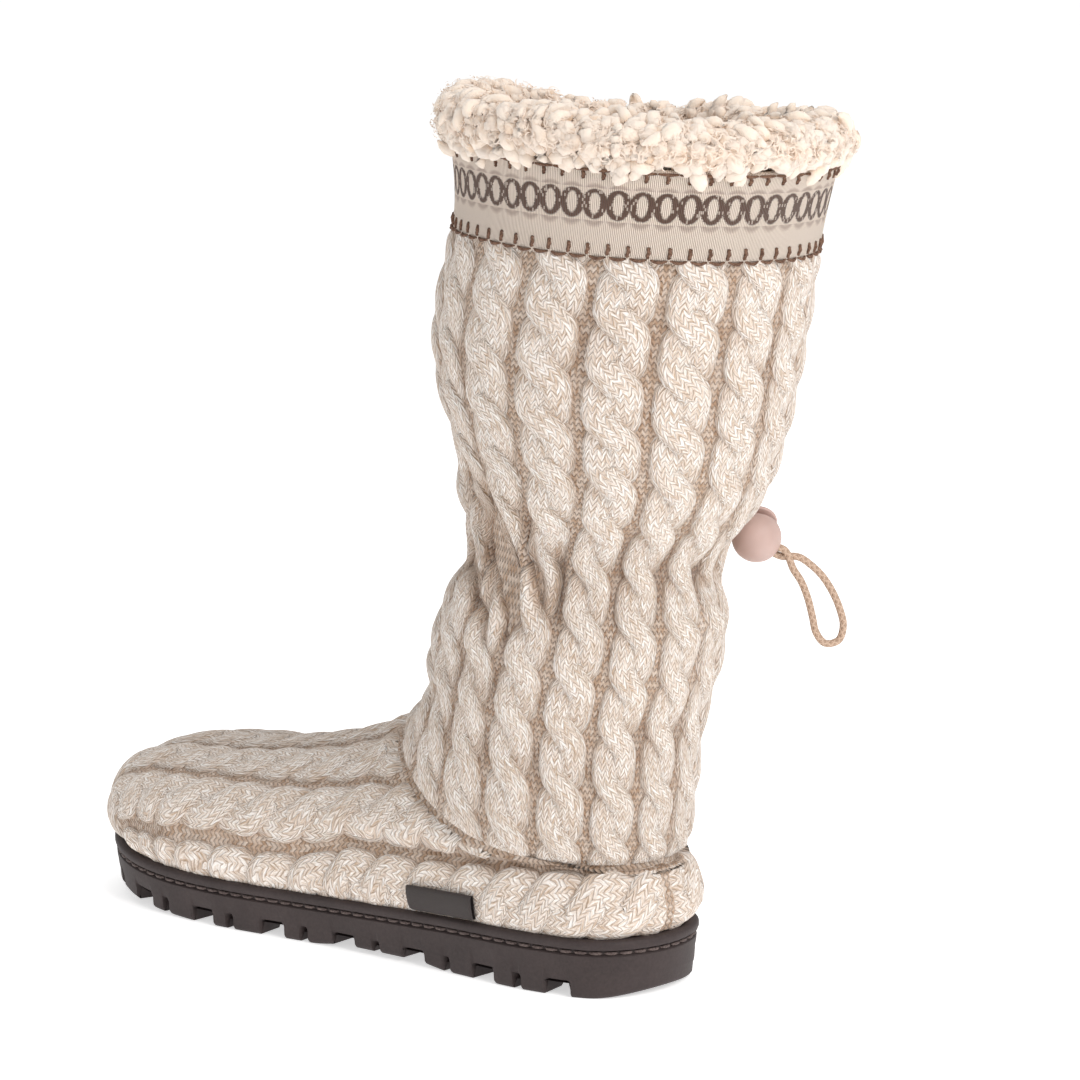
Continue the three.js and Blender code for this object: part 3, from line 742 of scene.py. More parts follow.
def cable_strands(columns, along, pitch, place_point):
    """The two crossing strands of each cable as rounded strips on a surface, with their stitches laid along them."""
    around = np.radians(np.linspace(-90, 90, 9))
    period, place, speed, swell = crossing(along)
    half = pitch * CABLE_SHARE
    centre = half * 0.46
    width = half * 0.62
    points = []
    uvs = []
    keeps = []
    painted_crest_shades = []
    for column in columns:
        for strand in (0, 1):
            upper = np.mod(period + strand, 2) == 0
            side = np.where(upper, place, -place) * centre
            slope = np.where(upper, speed, -speed) * centre
            crest = CABLE_HEIGHT * np.where(upper, 0.78 + 0.34 * swell, 0.78 - 0.55 * swell**1.3)
            turned = 1 / np.sqrt(1 + slope**2)
            offset = np.sin(around)[None] * width[:, None]
            off = side[:, None] + offset * turned[:, None]
            run = along[:, None] - offset * (slope * turned)[:, None]
            lift = -STRAND_ROOT + (crest[:, None] + STRAND_ROOT) * np.maximum(np.cos(around), 0)[None] ** 0.5
            strip, keep, crease = place_point(column, off, run, lift)
            points.append(strip)
            keeps.append(keep)
            # Painted shade: dark low on the strand's edges and in the creases, light on its top.
            height = (lift + STRAND_ROOT) / (CABLE_HEIGHT + STRAND_ROOT)
            painted_crest_shades.append(height + np.minimum(crease * CREASE_SHADE, 0.1))
            wale = column * 14 + strand * 6 + (around[None] / math.pi * 6 + 3) + 0 * run
            stretch = np.concatenate([[0], np.cumsum(np.diff(along) / (turned[1:] ** 0.7))])
            rows = (stretch / STITCH_ROW)[:, None] + 0 * run
            uvs.append(np.stack([wale, rows], -1))
    return np.array(points), np.array(uvs), np.array(keeps), np.array(painted_crest_shades)


def strips_piece(name, points, uvs, keeps, painted_crest_shades):
    strips, rows, across, _ = points.shape
    faces = grid_faces(rows, across, wrap_columns=False)[:, ::-1]
    all_faces = (faces[None] + rows * across * np.arange(strips)[:, None, None]).reshape(-1, 4)
    kept = keeps.reshape(-1)[all_faces].all(1)
    used, places = np.unique(all_faces[kept], return_inverse=True)
    obj = piece_from(name, points.reshape(-1, 3)[used], places.reshape(-1, 4))
    set_uv(obj, uvs.reshape(-1, 2)[used])
    set_value(obj, "crest", painted_crest_shades.reshape(-1)[used])
    return obj


def shaft_cables():
    along = np.arange(0.6, SHAFT_LENGTHS[-1], 1.15)
    pitch = shaft_pitch(along)

    def place_point(column, off, run, lift):
        turn = CABLE_FIRST_TURN + (column + off / pitch[:, None]) * 360 / CABLE_COLUMNS
        keep = (run > -0.5) & (run < SHAFT_LENGTHS[-1] + 0.5)
        under_band = smooth_step(run, SHAFT_LENGTHS[-1] - 8.0, SHAFT_LENGTHS[-1] - 1.0)
        edge = smooth_step(run, -1.0, 5.0) * (1 - 0.8 * under_band)
        inside = np.clip(run, 0, SHAFT_LENGTHS[-1])
        return shaft_point(turn, inside, lift * (0.35 + 0.65 * edge)), keep, shaft_crease(turn, inside)

    strands = cable_strands(range(CABLE_COLUMNS), along, pitch, place_point)
    return strips_piece("knit_shaft_cables", *strands)


shaft = shaft_ground()
dress(shaft, PURL_KNIT)
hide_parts("knit_shaft")
dress(shaft_cables(), CABLE_KNIT)


# Knitted foot

RIDGE_LEVELS = np.linspace(1.2, SEAM_LEVEL, 200)
RIDGE = upper_face(RIDGE_LEVELS, np.full(200, 180.0))[::-1]
HEEL_RADIUS = 38.0
TOE_PIVOT_X = 165.0
TOE_PIVOT_Z = 8.0
TOE_RIDGE = upper_face(np.linspace(0.0, SEAM_LEVEL, 240), np.full(240, 180.0))[::-1]
TOE_REACH = float(np.interp(TOE_PIVOT_X, RIDGE[:, 0], RIDGE[:, 2])) - TOE_PIVOT_Z
FOOT_STATIONS = np.arange(-59.0, 240.0, 1.0)
FOOT_SIDES = np.arange(-96.0, 97.0, 1.0)


def toe_lean(points):
    """How far over the toe a point lies, as an angle about a line across the foot."""
    ahead = np.maximum(points[..., 0] - TOE_PIVOT_X, 0)
    return np.arctan2(ahead, np.maximum(points[..., 2] - TOE_PIVOT_Z, 0.1))


def foot_stations(points):
    """How far along the foot a point lies, measured round the heel's back and over the toe."""
    x = points[..., 0]
    over = TOE_PIVOT_X + TOE_REACH * toe_lean(points)
    behind = -HEEL_RADIUS * np.arctan2(-x, np.abs(points[..., 1]) + 1e-6)
    return np.where(x < 0, behind, np.where(x > TOE_PIVOT_X, over, x))


def foot_sides(points):
    """How far down from the ridge of the vamp a point lies."""
    x = points[..., 0]
    seam_x = RIDGE[0, 0]
    height = np.interp(x, RIDGE[:, 0], RIDGE[:, 2]) + np.maximum(0, seam_x - x) * FOOT_SLOPE
    ridge_y = np.interp(x, RIDGE[:, 0], RIDGE[:, 1])
    out = np.abs(points[..., 1] - ridge_y)
    back = smooth_step(x, 20.0, 70.0)
    out = 36.0 + (out - 36.0) * back
    toe = TOE_RIDGE[TOE_RIDGE[:, 0] > TOE_PIVOT_X]
    reach = np.hypot(toe[:, 0] - TOE_PIVOT_X, toe[:, 2] - TOE_PIVOT_Z)
    off_pivot = np.hypot(x - TOE_PIVOT_X, points[..., 2] - TOE_PIVOT_Z)
    lean = np.interp(toe_lean(points), toe_lean(toe), reach) - off_pivot
    down = np.maximum(0, np.where(x > TOE_PIVOT_X, lean, height - points[..., 2]))
    return (out**1.5 + down**1.5) ** (2 / 3)


def foot_chart():
    """Level, turn and drop below the sole's edge for each station and side of the foot."""
    levels = np.linspace(0, SEAM_LEVEL, 170)
    turns = np.linspace(0, 180, 361)
    chart = np.zeros((len(FOOT_STATIONS), len(FOOT_SIDES), 4))
    ridge_stations = foot_stations(TOE_RIDGE)
    for sign in (1, -1):
        face = upper_face(levels[:, None], sign * turns[None])
        stations = foot_stations(face)
        pick = np.nonzero(FOOT_SIDES * sign >= 0)[0]
        wanted = np.abs(FOOT_SIDES[pick])
        for index, station in enumerate(FOOT_STATIONS):
            reach = (stations[:, 0] <= station) & (stations[:, -1] >= station)
            if reach.sum() < 3:
                continue
            used = np.nonzero(reach)[0]
            turn = np.array([np.interp(station, stations[k], turns) for k in used])
            level = levels[used]
            side = foot_sides(upper_face(level, sign * turn))
            top_level = np.interp(station, ridge_stations, np.linspace(SEAM_LEVEL, 0.0, 240))
            if station > RIDGE[0, 0]:
                level = np.append(level, top_level)
                turn = np.append(turn, 180.0)
                side = np.append(side, 0.0)
            order = np.argsort(side)
            side, level, turn = side[order], level[order], turn[order]
            chart[index, pick, 0] = np.interp(wanted, side, level)
            chart[index, pick, 1] = sign * np.interp(wanted, side, turn)
            chart[index, pick, 2] = np.maximum(0, wanted - side[-1])
            above = side[0] - wanted
            chart[index, pick, 3] = (wanted <= side[-1] + 4) & (above < 0.5)
    return chart


def seam_gap(level, turn):
    """How far a point of the foot lies from the ankle seam."""
    seam = upper_face(np.full(np.shape(level), SEAM_LEVEL), turn)
    return np.linalg.norm(upper_face(level, turn) - seam, axis=-1)


def foot_tuck(level, turn):
    return -1.1 * np.exp(-((seam_gap(level, turn) / 3.0) ** 2))


FOOT_CHART = foot_chart()
FOOT_FACE = upper_face(FOOT_CHART[..., 0], FOOT_CHART[..., 1])
FOOT_NORMAL = upper_normal(FOOT_CHART[..., 0], FOOT_CHART[..., 1])
FOOT_TUCK = foot_tuck(FOOT_CHART[..., 0], FOOT_CHART[..., 1])[..., None]
FOOT_GAPS = seam_gap(FOOT_CHART[..., 0], FOOT_CHART[..., 1])[..., None]


def foot_point(station, side, lift):
    """A point on the foot by station and side, lifted off it, and whether it lies on the knit."""
    row = np.clip(station - FOOT_STATIONS[0], 0, len(FOOT_STATIONS) - 1.001)
    column = np.clip(side - FOOT_SIDES[0], 0, len(FOOT_SIDES) - 1.001)
    r = row.astype(int)
    c = column.astype(int)
    a = (row - r)[..., None]
    b = (column - c)[..., None]

    def blend(grid):
        near = grid[r, c] * (1 - b) + grid[r, c + 1] * b
        return near * (1 - a) + (grid[r + 1, c] * (1 - b) + grid[r + 1, c + 1] * b) * a

    at = blend(FOOT_CHART)
    level = at[..., 0]
    turn = at[..., 1]
    beside_tab = smooth_step(turn, 52.0, 56.0) * (1 - smooth_step(turn, 71.0, 75.0))
    under_tab = beside_tab * (1 - smooth_step(level, 1.5, 2.2))
    full = smooth_step(blend(FOOT_GAPS)[..., 0], 0.6, 6.0) * smooth_step(station + 60.0, 0.6, 5.0)
    by_sole = 0.25 + 0.75 * smooth_step(level, 0.0, 0.7)
    lift = lift * by_sole * full * (1 - 0.75 * under_tab) - 1.3 * (1 - full)
    tuck = blend(FOOT_TUCK)[..., 0]
    point = blend(FOOT_FACE) + unit(blend(FOOT_NORMAL)) * (lift + tuck)[..., None]
    point[..., 2] -= at[..., 2]
    keep = (at[..., 3] > 0.99) & (station > FOOT_STATIONS[0]) & (station < FOOT_STATIONS[-1])
    return point, keep


def foot_ground():
    turns = 288
    levels = np.concatenate([np.linspace(0, 6.6, 72), np.linspace(6.65, SEAM_LEVEL + 0.03, 14)])
    turn = round_turns(turns)
    face = upper_face(levels[:, None], turn[None])
    normal = upper_normal(levels[:, None], turn[None])
    tuck = foot_tuck(np.broadcast_to(levels[:, None], face.shape[:2]), turn[None])
    outside = face + normal * tuck[..., None]
    inner_levels = np.linspace(SEAM_LEVEL + 0.03, 0, 20)
    place = inner_levels[:, None], turn[None]
    inner = upper_face(*place) - KNIT_THICKNESS * upper_normal(*place)
    inner[..., 2] = np.maximum(inner[..., 2], sole_top(inner[..., 0]) + 0.3)
    points = np.concatenate([outside, inner])
    obj = piece_from("knit_foot_ground", points, grid_faces(len(points), turns, wrap_rows=True))
    uv = np.stack([foot_sides(points) / 2.4, foot_stations(points) / STITCH_ROW], -1)
    set_uv(obj, uv)
    return obj


def foot_cables():
    along = np.arange(FOOT_STATIONS[0] + 0.5, FOOT_STATIONS[-1], 1.15)
    pitch = np.full(len(along), FOOT_PITCH)

    def place_point(column, off, run, lift):
        return (*foot_point(run, (column - 3) * FOOT_PITCH + off, lift), 0.0 * run)

    return strips_piece("knit_foot_cables", *cable_strands(range(7), along, pitch, place_point))


foot = foot_ground()
dress(foot, PURL_KNIT)
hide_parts("knit_foot")
dress(foot_cables(), CABLE_KNIT)


# Woven band

BAND_FROM = 13.88
BAND_TO = 14.97
BAND_REPEATS = 58
BAND_OVALS = 51
BAND_OVALS_HEIGHT = 17.4
BAND_HEIGHT = 34.5
BAND_LIFT = 2.0


def band_group():
    """The band's woven figure from repeats round it and millimetres up it: brown, tan and rib."""
    group, place, made = new_group("Band figure", "Place", ("Brown", "Tan", "Rib", "Chance"))
    across, height = across_and_up(group, place)
    shake = (noise(group, place, 2.3, 1.0) - 0.5) * 0.16
    part = reckon("FRACT", (across + shake) * (BAND_OVALS / BAND_REPEATS)) - 0.5
    rise = height - BAND_OVALS_HEIGHT

    def oval(half_width, half_height):
        sideways = part / half_width
        upward = rise / half_height
        return reckon("SQRT", sideways * sideways + upward * upward)

    def fade(value, low, high, start, end, kind):
        values = dict(enumerate((value, low, high, start, end)))
        return Wire(group, put(group, "ShaderNodeMapRange", values, interpolation_type=kind).outputs[0])

    outer = fade(oval(0.56, 5.7), 0.9, 1.04, 1.0, 0.0, "SMOOTHSTEP")
    inner = fade(oval(0.235, 3.9), 0.85, 1.15, 0.0, 1.0, "SMOOTHSTEP")
    arcs = fade(abs(oval(0.40, 4.4) - 1.55), 0.05, 0.34, 1.0, 0.0, "LINEAR")
    far = reckon("GREATER_THAN", abs(rise), 5.9)
    near = reckon("LESS_THAN", abs(rise), 8.6)
    rib_place = across * 11.0
    chance = chance_of(group, reckon("FLOOR", rib_place), reckon("FLOOR", height * 0.9))
    for name, value in (
        ("Brown", outer * inner),
        ("Tan", arcs * (far * near)),
        ("Rib", abs(wave(rib_place))),
        ("Chance", chance),
    ):
        feed(group, value, made.inputs[name])
    return group


BAND_CREAM = srgb(242, 226, 211)
BAND_SHADE = srgb(196, 171, 151)
BAND_TAN = srgb(176, 150, 136)
BAND_BROWN = srgb(100, 74, 61)


def band_material():
    settings = {"Roughness": 0.8, "Sheen Weight": 0.15, "Specular IOR Level": 0.3}
    material, tree, shader = new_material("woven_ribbon", settings)
    figure = use_group(tree, band_group())
    plain = ramp(tree, figure["Rib"], [(0.1, BAND_SHADE), (0.6, BAND_CREAM)])
    tinted = blend_colour(tree, figure["Tan"] * 0.7, plain, BAND_TAN)
    speck = reckon("GREATER_THAN", figure["Chance"], 0.88) * -0.55 + 1.0
    colour = blend_colour(tree, figure["Brown"] * speck, tinted, BAND_BROWN)
    feed(tree, colour, shader.inputs["Base Color"])
    grain = figure["Chance"] * 0.35 + figure["Rib"]
    relief(tree, shader, figure["Brown"] * 0.9 + grain, 1.0, 0.5)
    return material


def band_point(repeat, height, lift):
    turn = np.asarray(repeat) * 360.0 / BAND_REPEATS
    level = BAND_FROM + (BAND_TO - BAND_FROM) * np.asarray(height) / BAND_HEIGHT
    return upper_face(level, turn) + upper_normal(level, turn) * np.asarray(lift)[..., None]


def make_band():
    turns = 348
    rows = 30
    repeat = np.linspace(0, BAND_REPEATS, turns + 1)
    heights = np.linspace(0, BAND_HEIGHT, rows)
    edge = np.minimum(heights, BAND_HEIGHT - heights)
    lift = BAND_LIFT - 1.0 * np.exp(-((edge / 0.8) ** 2))
    outside = band_point(repeat[None], heights[:, None], np.broadcast_to(lift[:, None], (rows, turns + 1)))
    inside = band_point(repeat[None], heights[::-1, None][::7], np.full((len(heights[::-7]), turns + 1), 0.3))
    points = np.concatenate([outside, inside])
    faces = grid_faces(len(points), turns + 1, wrap_rows=True, wrap_columns=False)
    obj = piece_from("woven_band_cloth", points, faces)
    up = np.concatenate([heights, heights[::-7]])
    uv = np.stack(np.broadcast_arrays(repeat[None], up[:, None]), -1)
    set_uv(obj, uv)
    return obj


def yarn_material(name, dark, light, gloss=0.85):
    """A plain twisted yarn."""
    material, tree, shader = new_material(name, {"Roughness": gloss, "Specular IOR Level": 0.3})
    fleck = noise(tree, object_place(tree), 1400.0, 2.0)
    feed(tree, ramp(tree, fleck, [(0.35, dark), (0.65, light)]), shader.inputs["Base Color"])
    relief(tree, shader, fleck, 0.7, 0.3)
    return material


BROWN_YARN = yarn_material("brown_edge_yarn", srgb(84, 60, 48), srgb(128, 98, 80))


def band_stitches():
    """Floats along the band's lower edge and short ticks at both edges."""
    chance = np.random.default_rng(7)
    paths = []
    radii = []
    steps = np.linspace(0, 1, 7)
    for k in range(BAND_REPEATS):
        shake = chance.normal(0, 0.02, 6)
        run = k + 0.02 + 0.80 * steps + shake[0]
        drop = 0.9 + 0.35 * shake[1] * 8 - 0.9 * (1 - (2 * steps - 1) ** 2) * 0.5
        paths.append(band_point(run, drop, 1.5 + 0.9 * np.sin(np.pi * steps)))
        radii.append(0.62 * (0.55 + 0.45 * np.sin(np.pi * np.clip(steps, 0.08, 0.92))))
        for low, high, place in ((1.6, 4.4, 0.93), (27.6, 31.4, 0.45)):
            run = np.full(7, k + place) + shake[2] + 0.05 * np.sin(steps * 9) * 0.5
            height = low + (high - low) * steps + shake[3] * 4
            paths.append(band_point(run, height, 1.9 + 0.4 * np.sin(np.pi * steps)))
            radii.append(0.75 * (0.7 + 0.3 * np.abs(np.cos(np.pi * steps * 2))))
        run = k + 0.02 + 0.94 * steps
        paths.append(band_point(run, 32.2 + 0.3 * shake[4] * 8 + 0 * steps, 1.7 + 0.6 * np.sin(np.pi * steps)))
        radii.append(0.6 * (0.6 + 0.4 * np.sin(np.pi * np.clip(steps, 0.08, 0.92))))
    return tubes("woven_band_stitches", np.array(paths), np.array(radii))


band = make_band()
dress(band, band_material())
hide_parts("woven_band")
dress(band_stitches(), BROWN_YARN)


# Fleece collar and lining


def fleece_material(name, pale, deep, scale):
    settings = {
        "Roughness": 0.95,
        "Sheen Weight": 0.35,
        "Sheen Roughness": 0.6,
        "Specular IOR Level": 0.15,
        "Subsurface Weight": 0.25,
        "Subsurface Radius": (0.003, 0.003, 0.0028),
        "Subsurface Scale": 1.0,
    }
    material, tree, shader = new_material(name, settings)
    curl = noise(tree, object_place(tree), scale, 4.0, Roughness=0.65, Distortion=1.2)
    comb = put(tree, "ShaderNodeMapping", {"Vector": stitch_place(tree), "Scale": (7.0, 2.2, 1.0)})
    hair = noise(tree, comb.outputs[0], 1.0, 3.0, Roughness=0.6, Distortion=0.6)
    fluff = curl * 0.5 + hair * 0.5
    # Painted shade mixed with a random tone: the value painted on each fleece piece darkens lock roots, the ring
    # between the locks and the lining's dents.
    tone = (fluff - 0.5) * 0.5 + painted(tree, "fleece_tone_and_shade")
    feed(tree, ramp(tree, tone, [(0.1, deep), (0.62, pale)]), shader.inputs["Base Color"])
    relief(tree, shader, fluff, 0.8, 0.6)
    return material


FLEECE = fleece_material("curly_fleece", srgb(241, 224, 208), srgb(228, 198, 171), 700.0)

# The rim by turn: how far it is raised, and how tall its section stands; the section is out and up.
RIM_TURNS = [0, 48, 105, 150, 180, 195, 228, 280, 320, 360]
RIM_RAISES = [3.2, 2.6, 1.6, 0.2, -1.8, -5.0, -7.0, -3.6, 2.4, 3.2]
RIM_TALL = [0.58, 0.64, 0.8, 0.94, 1.0, 1.0, 0.8, 0.66, 0.58, 0.58]
COLLAR_SECTION = [
    (1.6, -3.0), (3.4, 2.6), (4.6, 7.0), (3.8, 12.6), (0.8, 15.4),
    (-4.8, 15.6), (-8.8, 12.6), (-9.6, 6.0), (-8.0, -1.4),
]
TOP_LEVEL = float(len(UPPER) - 1)
UPWARD = np.array([0, 0, 1.0])
LEVEL_ONLY = np.array([1.0, 1.0, 0.0])


def collar_ring_point(turn, out, up):
    level = np.full(np.shape(turn), TOP_LEVEL)
    point = upper_face(level, turn) + upper_normal(level, turn) * np.asarray(out)[..., None]
    by_turn = lambda values: np.interp(np.mod(turn, 360), RIM_TURNS, values)
    point[..., 2] += up * by_turn(RIM_TALL) + by_turn(RIM_RAISES)
    point[..., 2] += 1.1 * np.sin(np.radians(turn * 7 + 40)) * np.sin(np.radians(turn * 3))
    return point


def collar_section(part):
    """A point of the collar's section: out, up and which way it faces."""
    section = np.array(COLLAR_SECTION)
    count = len(section)
    place = np.mod(part, 1.0) * count
    index = np.floor(place).astype(int)
    pick = lambda step: section[(index + step) % count]
    point = between(pick(-1), pick(0), pick(1), pick(2), (place - index)[..., None])
    ahead = pick(1) - pick(0)
    facing = unit(np.stack([ahead[..., 1], -ahead[..., 0]], -1))
    return point, facing


def make_collar():
    turns = 180
    parts = 27
    turn = round_turns(turns)
    section, _ = collar_section(np.arange(parts) / parts)
    points = np.stack([collar_ring_point(turn, np.full(turns, out), up) for out, up in section])
    obj = piece_from("fleece_collar_ring", points, grid_faces(parts, turns, wrap_rows=True))
    # Painted shade: the ring that shows between the locks is set to a middle tone.
    set_value(obj, "fleece_tone_and_shade", np.full(parts * turns, 0.6))
    return obj


def collar_ways(turn, facing, spin):
    """Out from the collar's face, and a way along the face turned by spin."""
    wall = unit(upper_normal(np.full(len(turn), TOP_LEVEL), turn) * LEVEL_ONLY)
    out = wall * facing[:, :1] + UPWARD * facing[:, 1:]
    round_ = np.cross(UPWARD, wall)
    return out, round_ * np.cos(spin) + np.cross(out, round_) * np.sin(spin)


def curled_paths(roots, away, curl, reach, bend, steps):
    """Arcs that leave roots along away and bend towards curl."""
    forward = reach * np.sin(bend * steps) / bend
    sideways = reach * (1 - np.cos(bend * steps)) / bend
    return roots[:, None] + forward[..., None] * away[:, None] + sideways[..., None] * curl[:, None]


def collar_locks():
    chance = np.random.default_rng(11)
    count = 1700
    turn = (np.arange(count) * 137.508 + chance.uniform(-4, 4, count)) % 360
    section, facing = collar_section(chance.uniform(0.0, 0.98, count))
    sunk = section - 0.8 * facing
    roots = collar_ring_point(turn, sunk[:, 0], sunk[:, 1])
    out, tangent = collar_ways(turn, facing, chance.uniform(0, 2 * np.pi, count)[:, None])
    away = unit(out * 0.6 + tangent * 0.85)
    curl = unit(np.cross(away, out) * chance.normal(0, 0.8, count)[:, None] + tangent * 0.9 - out * 0.35)
    curl = unit(curl - away * (curl * away).sum(-1, keepdims=True))
    lengths = chance.uniform(7.5, 12.0, count)[:, None]
    widths = chance.uniform(1.9, 2.9, count)[:, None]
    chance = np.random.default_rng(12)
    steps = np.linspace(0, 1, 6)
    paths = curled_paths(roots, away, curl, lengths, chance.uniform(1.6, 3.6, count)[:, None], steps)
    obj = tubes("fleece_collar_locks", paths, widths * np.array([0.7, 1.0, 1.08, 0.92, 0.6, 0.2]))
    # Painted shade along each lock: dark at the root and pale towards the tip. Each lock also gets a random tone.
    painted_root_shade = 0.15 + 0.75 * np.sin(np.pi * np.clip(steps * 0.75, 0, 0.5))
    tips = np.repeat(np.broadcast_to(painted_root_shade, (count, 6)), 6, axis=1) + chance.normal(0, 0.12, count)[:, None]
    set_value(obj, "fleece_tone_and_shade", np.concatenate([tips.ravel(), np.repeat([0.15, 0.8], count)]))
    return obj


def collar_fuzz():
    """Fine curled hairs that blur the locks, each a narrow strip that faces outward."""
    chance = np.random.default_rng(31)
    count = 6000
    turn = chance.uniform(0, 360, count)
    section, facing = collar_section(chance.uniform(0.12, 0.9, count))
    raised = section + chance.uniform(1.0, 4.8, count)[:, None] * facing
    roots = collar_ring_point(turn, raised[:, 0], raised[:, 1])
    out, tangent = collar_ways(turn, facing, chance.uniform(0, 2 * np.pi, count)[:, None])
    away = unit(tangent + out * chance.uniform(-0.1, 0.4, count)[:, None])
    curl = unit(np.cross(away, out) * chance.choice([-1.0, 1.0], count)[:, None] - out * 0.4)
    bend = chance.uniform(1.2, 3.4, count)[:, None]
    reach = chance.uniform(2.0, 4.6, count)[:, None]
    paths = curled_paths(roots, away, curl, reach, bend, np.linspace(0, 1, 5))
    broad = unit(np.cross(out[:, None], np.gradient(paths, axis=1)))
    half = 0.26 * np.array([0.8, 1.0, 1.0, 0.8, 0.3])[:, None]
    points = np.stack([paths - broad * half, paths + broad * half], 2)
    faces = grid_faces(5, 2, wrap_columns=False)[None] + 10 * np.arange(count)[:, None, None]
    obj = piece_from("fleece_collar_fuzz", points, faces.reshape(-1, 4))
    set_value(obj, "fleece_tone_and_shade", np.repeat(chance.uniform(0.5, 0.95, count), 10))
    return obj


def noise_of(points, seed, size, count=26):
    """Soft lumps of about the given size, as the sum of a few waves."""
    chance = np.random.default_rng(seed)
    total = np.zeros(points.shape[:-1])
    for _ in range(count):
        way = unit(chance.normal(size=3)) * 2 * np.pi / (size * chance.uniform(0.7, 1.5))
        total += np.sin(points @ way + chance.uniform(0, 2 * np.pi))
    return total / math.sqrt(count / 2)


def make_lining():
    turns = 150
    levels = np.concatenate([np.linspace(0.7, SEAM_LEVEL, 46), np.linspace(SEAM_LEVEL + 0.1, 14.9, 96)])
    turn = round_turns(turns)
    face = upper_face(levels[:, None], turn[None])
    normal = upper_normal(levels[:, None], turn[None])
    lumps = noise_of(face, 21, 9.0)
    centre = face.mean(1, keepdims=True)
    pull = unit((face - centre) * LEVEL_ONLY)
    share = smooth_step(levels, 7.2, 8.0)[:, None, None]
    way = unit(normal * share + (pull + np.array([0, 0, 0.3])) * (1 - share))
    inside = face - way * (7.0 + 1.1 * lumps)[..., None]
    inside[..., 2] = np.maximum(inside[..., 2], sole_top(inside[..., 0]) + 2.0)
    back = (face - way * 4.4)[::-6]
    back[..., 2] = np.maximum(back[..., 2], sole_top(back[..., 0]) + 0.6)
    points = np.concatenate([inside, back])
    obj = piece_from("fleece_lining", points, grid_faces(len(points), turns, wrap_rows=True)[:, ::-1])
    # Painted shade: the lining is paler on its lumps and darker in its dents.
    set_value(obj, "fleece_tone_and_shade", np.concatenate([0.35 + 0.12 * lumps, np.full(back.shape[:2], 0.3)]))
    return obj


collar = make_collar()
dress(collar, FLEECE)
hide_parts("fleece_collar")
dress(collar_locks(), FLEECE)
dress(collar_fuzz(), FLEECE)
dress(make_lining(), FLEECE)


# Side of the footbed: set-back, rise.
FOOTBED_SIDE = [(9.4, 0.3), (9.2, 2.5), (10.0, 4.2), (12.0, 4.9), (18.0, 5.0), (26.0, 4.9), (33.0, 4.9)]


def make_footbed():
    """The fleece footbed, a rounded slab set back from the sole's edge."""
    turns = 160
    turn = round_turns(turns)
    rings = []
    for inset, rise in FOOTBED_SIDE:
        x, y = outline_point(turn, inset)
        rings.append(np.stack([x, y, sole_top(x) + rise], -1))
    x = outline_x(turn) * 0.72 + 26
    middle, base = (np.stack([x, 0 * x, sole_top(x) + rise], -1) for rise in (4.9, 0.3))
    points = np.stack([base, *rings, middle])
    points[3:, :, 2] += 0.35 * noise_of(points[3:], 31, 8.0)
    obj = piece_from("footbed_fleece", points, grid_faces(len(points), turns))
    set_value(obj, "fleece_tone_and_shade", np.full(len(points) * turns, 0.4))
    return obj


footbed = make_footbed()
dress(footbed, FLEECE)
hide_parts("insole")


# Sole


def sole_material():
    material, tree, shader = new_material("brown_rubber", {"Roughness": 0.62, "Specular IOR Level": 0.35})
    place = object_place(tree)
    grain = noise(tree, place, 900.0, 3.0, Roughness=0.6)
    tone = grain * 0.5 + noise(tree, place, 60.0, 3.0) * 0.5
    colour = ramp(tree, tone, [(0.3, srgb(49, 40, 39)), (0.7, srgb(66, 55, 54))])
    feed(tree, colour, shader.inputs["Base Color"])
    relief(tree, shader, grain, 0.35, 0.25)
    return material


RUBBER = sole_material()


def tread_cut(x, y):
    """How far a groove or nick between lugs cuts into the sole's side, from 0 to 1."""
    cut = np.zeros(np.shape(x))
    sign = np.where(y > 0, 1.0, -1.0)
    lean = np.radians(12.0) * sign
    for k in range(8):
        centre = HEEL_BACK_X + LUG_PITCH * (k + 0.78)
        side = (x - centre) * np.cos(lean) + (y - 33.0 * sign) * np.sin(lean)
        cut = np.maximum(cut, 1 - smooth_step(np.abs(side), LUG_GROOVE / 2 - 0.4, LUG_GROOVE / 2 + 0.5))
        nick = np.abs(x - centre - LUG_PITCH / 2)
        cut = np.maximum(cut, 0.75 * (1 - smooth_step(nick, LUG_NICK / 2 - 0.4, LUG_NICK / 2 + 0.5)))
    return cut


def even_turns(count, inset=0.0):
    """Turns that lie evenly spaced along the sole's outline."""
    turn = np.linspace(0, 360, 2881)
    x, y = outline_point(turn, inset)
    length = np.concatenate([[0], np.cumsum(np.hypot(np.diff(x), np.diff(y)))])
    return np.interp(np.linspace(0, length[-1], count, endpoint=False), length, turn)


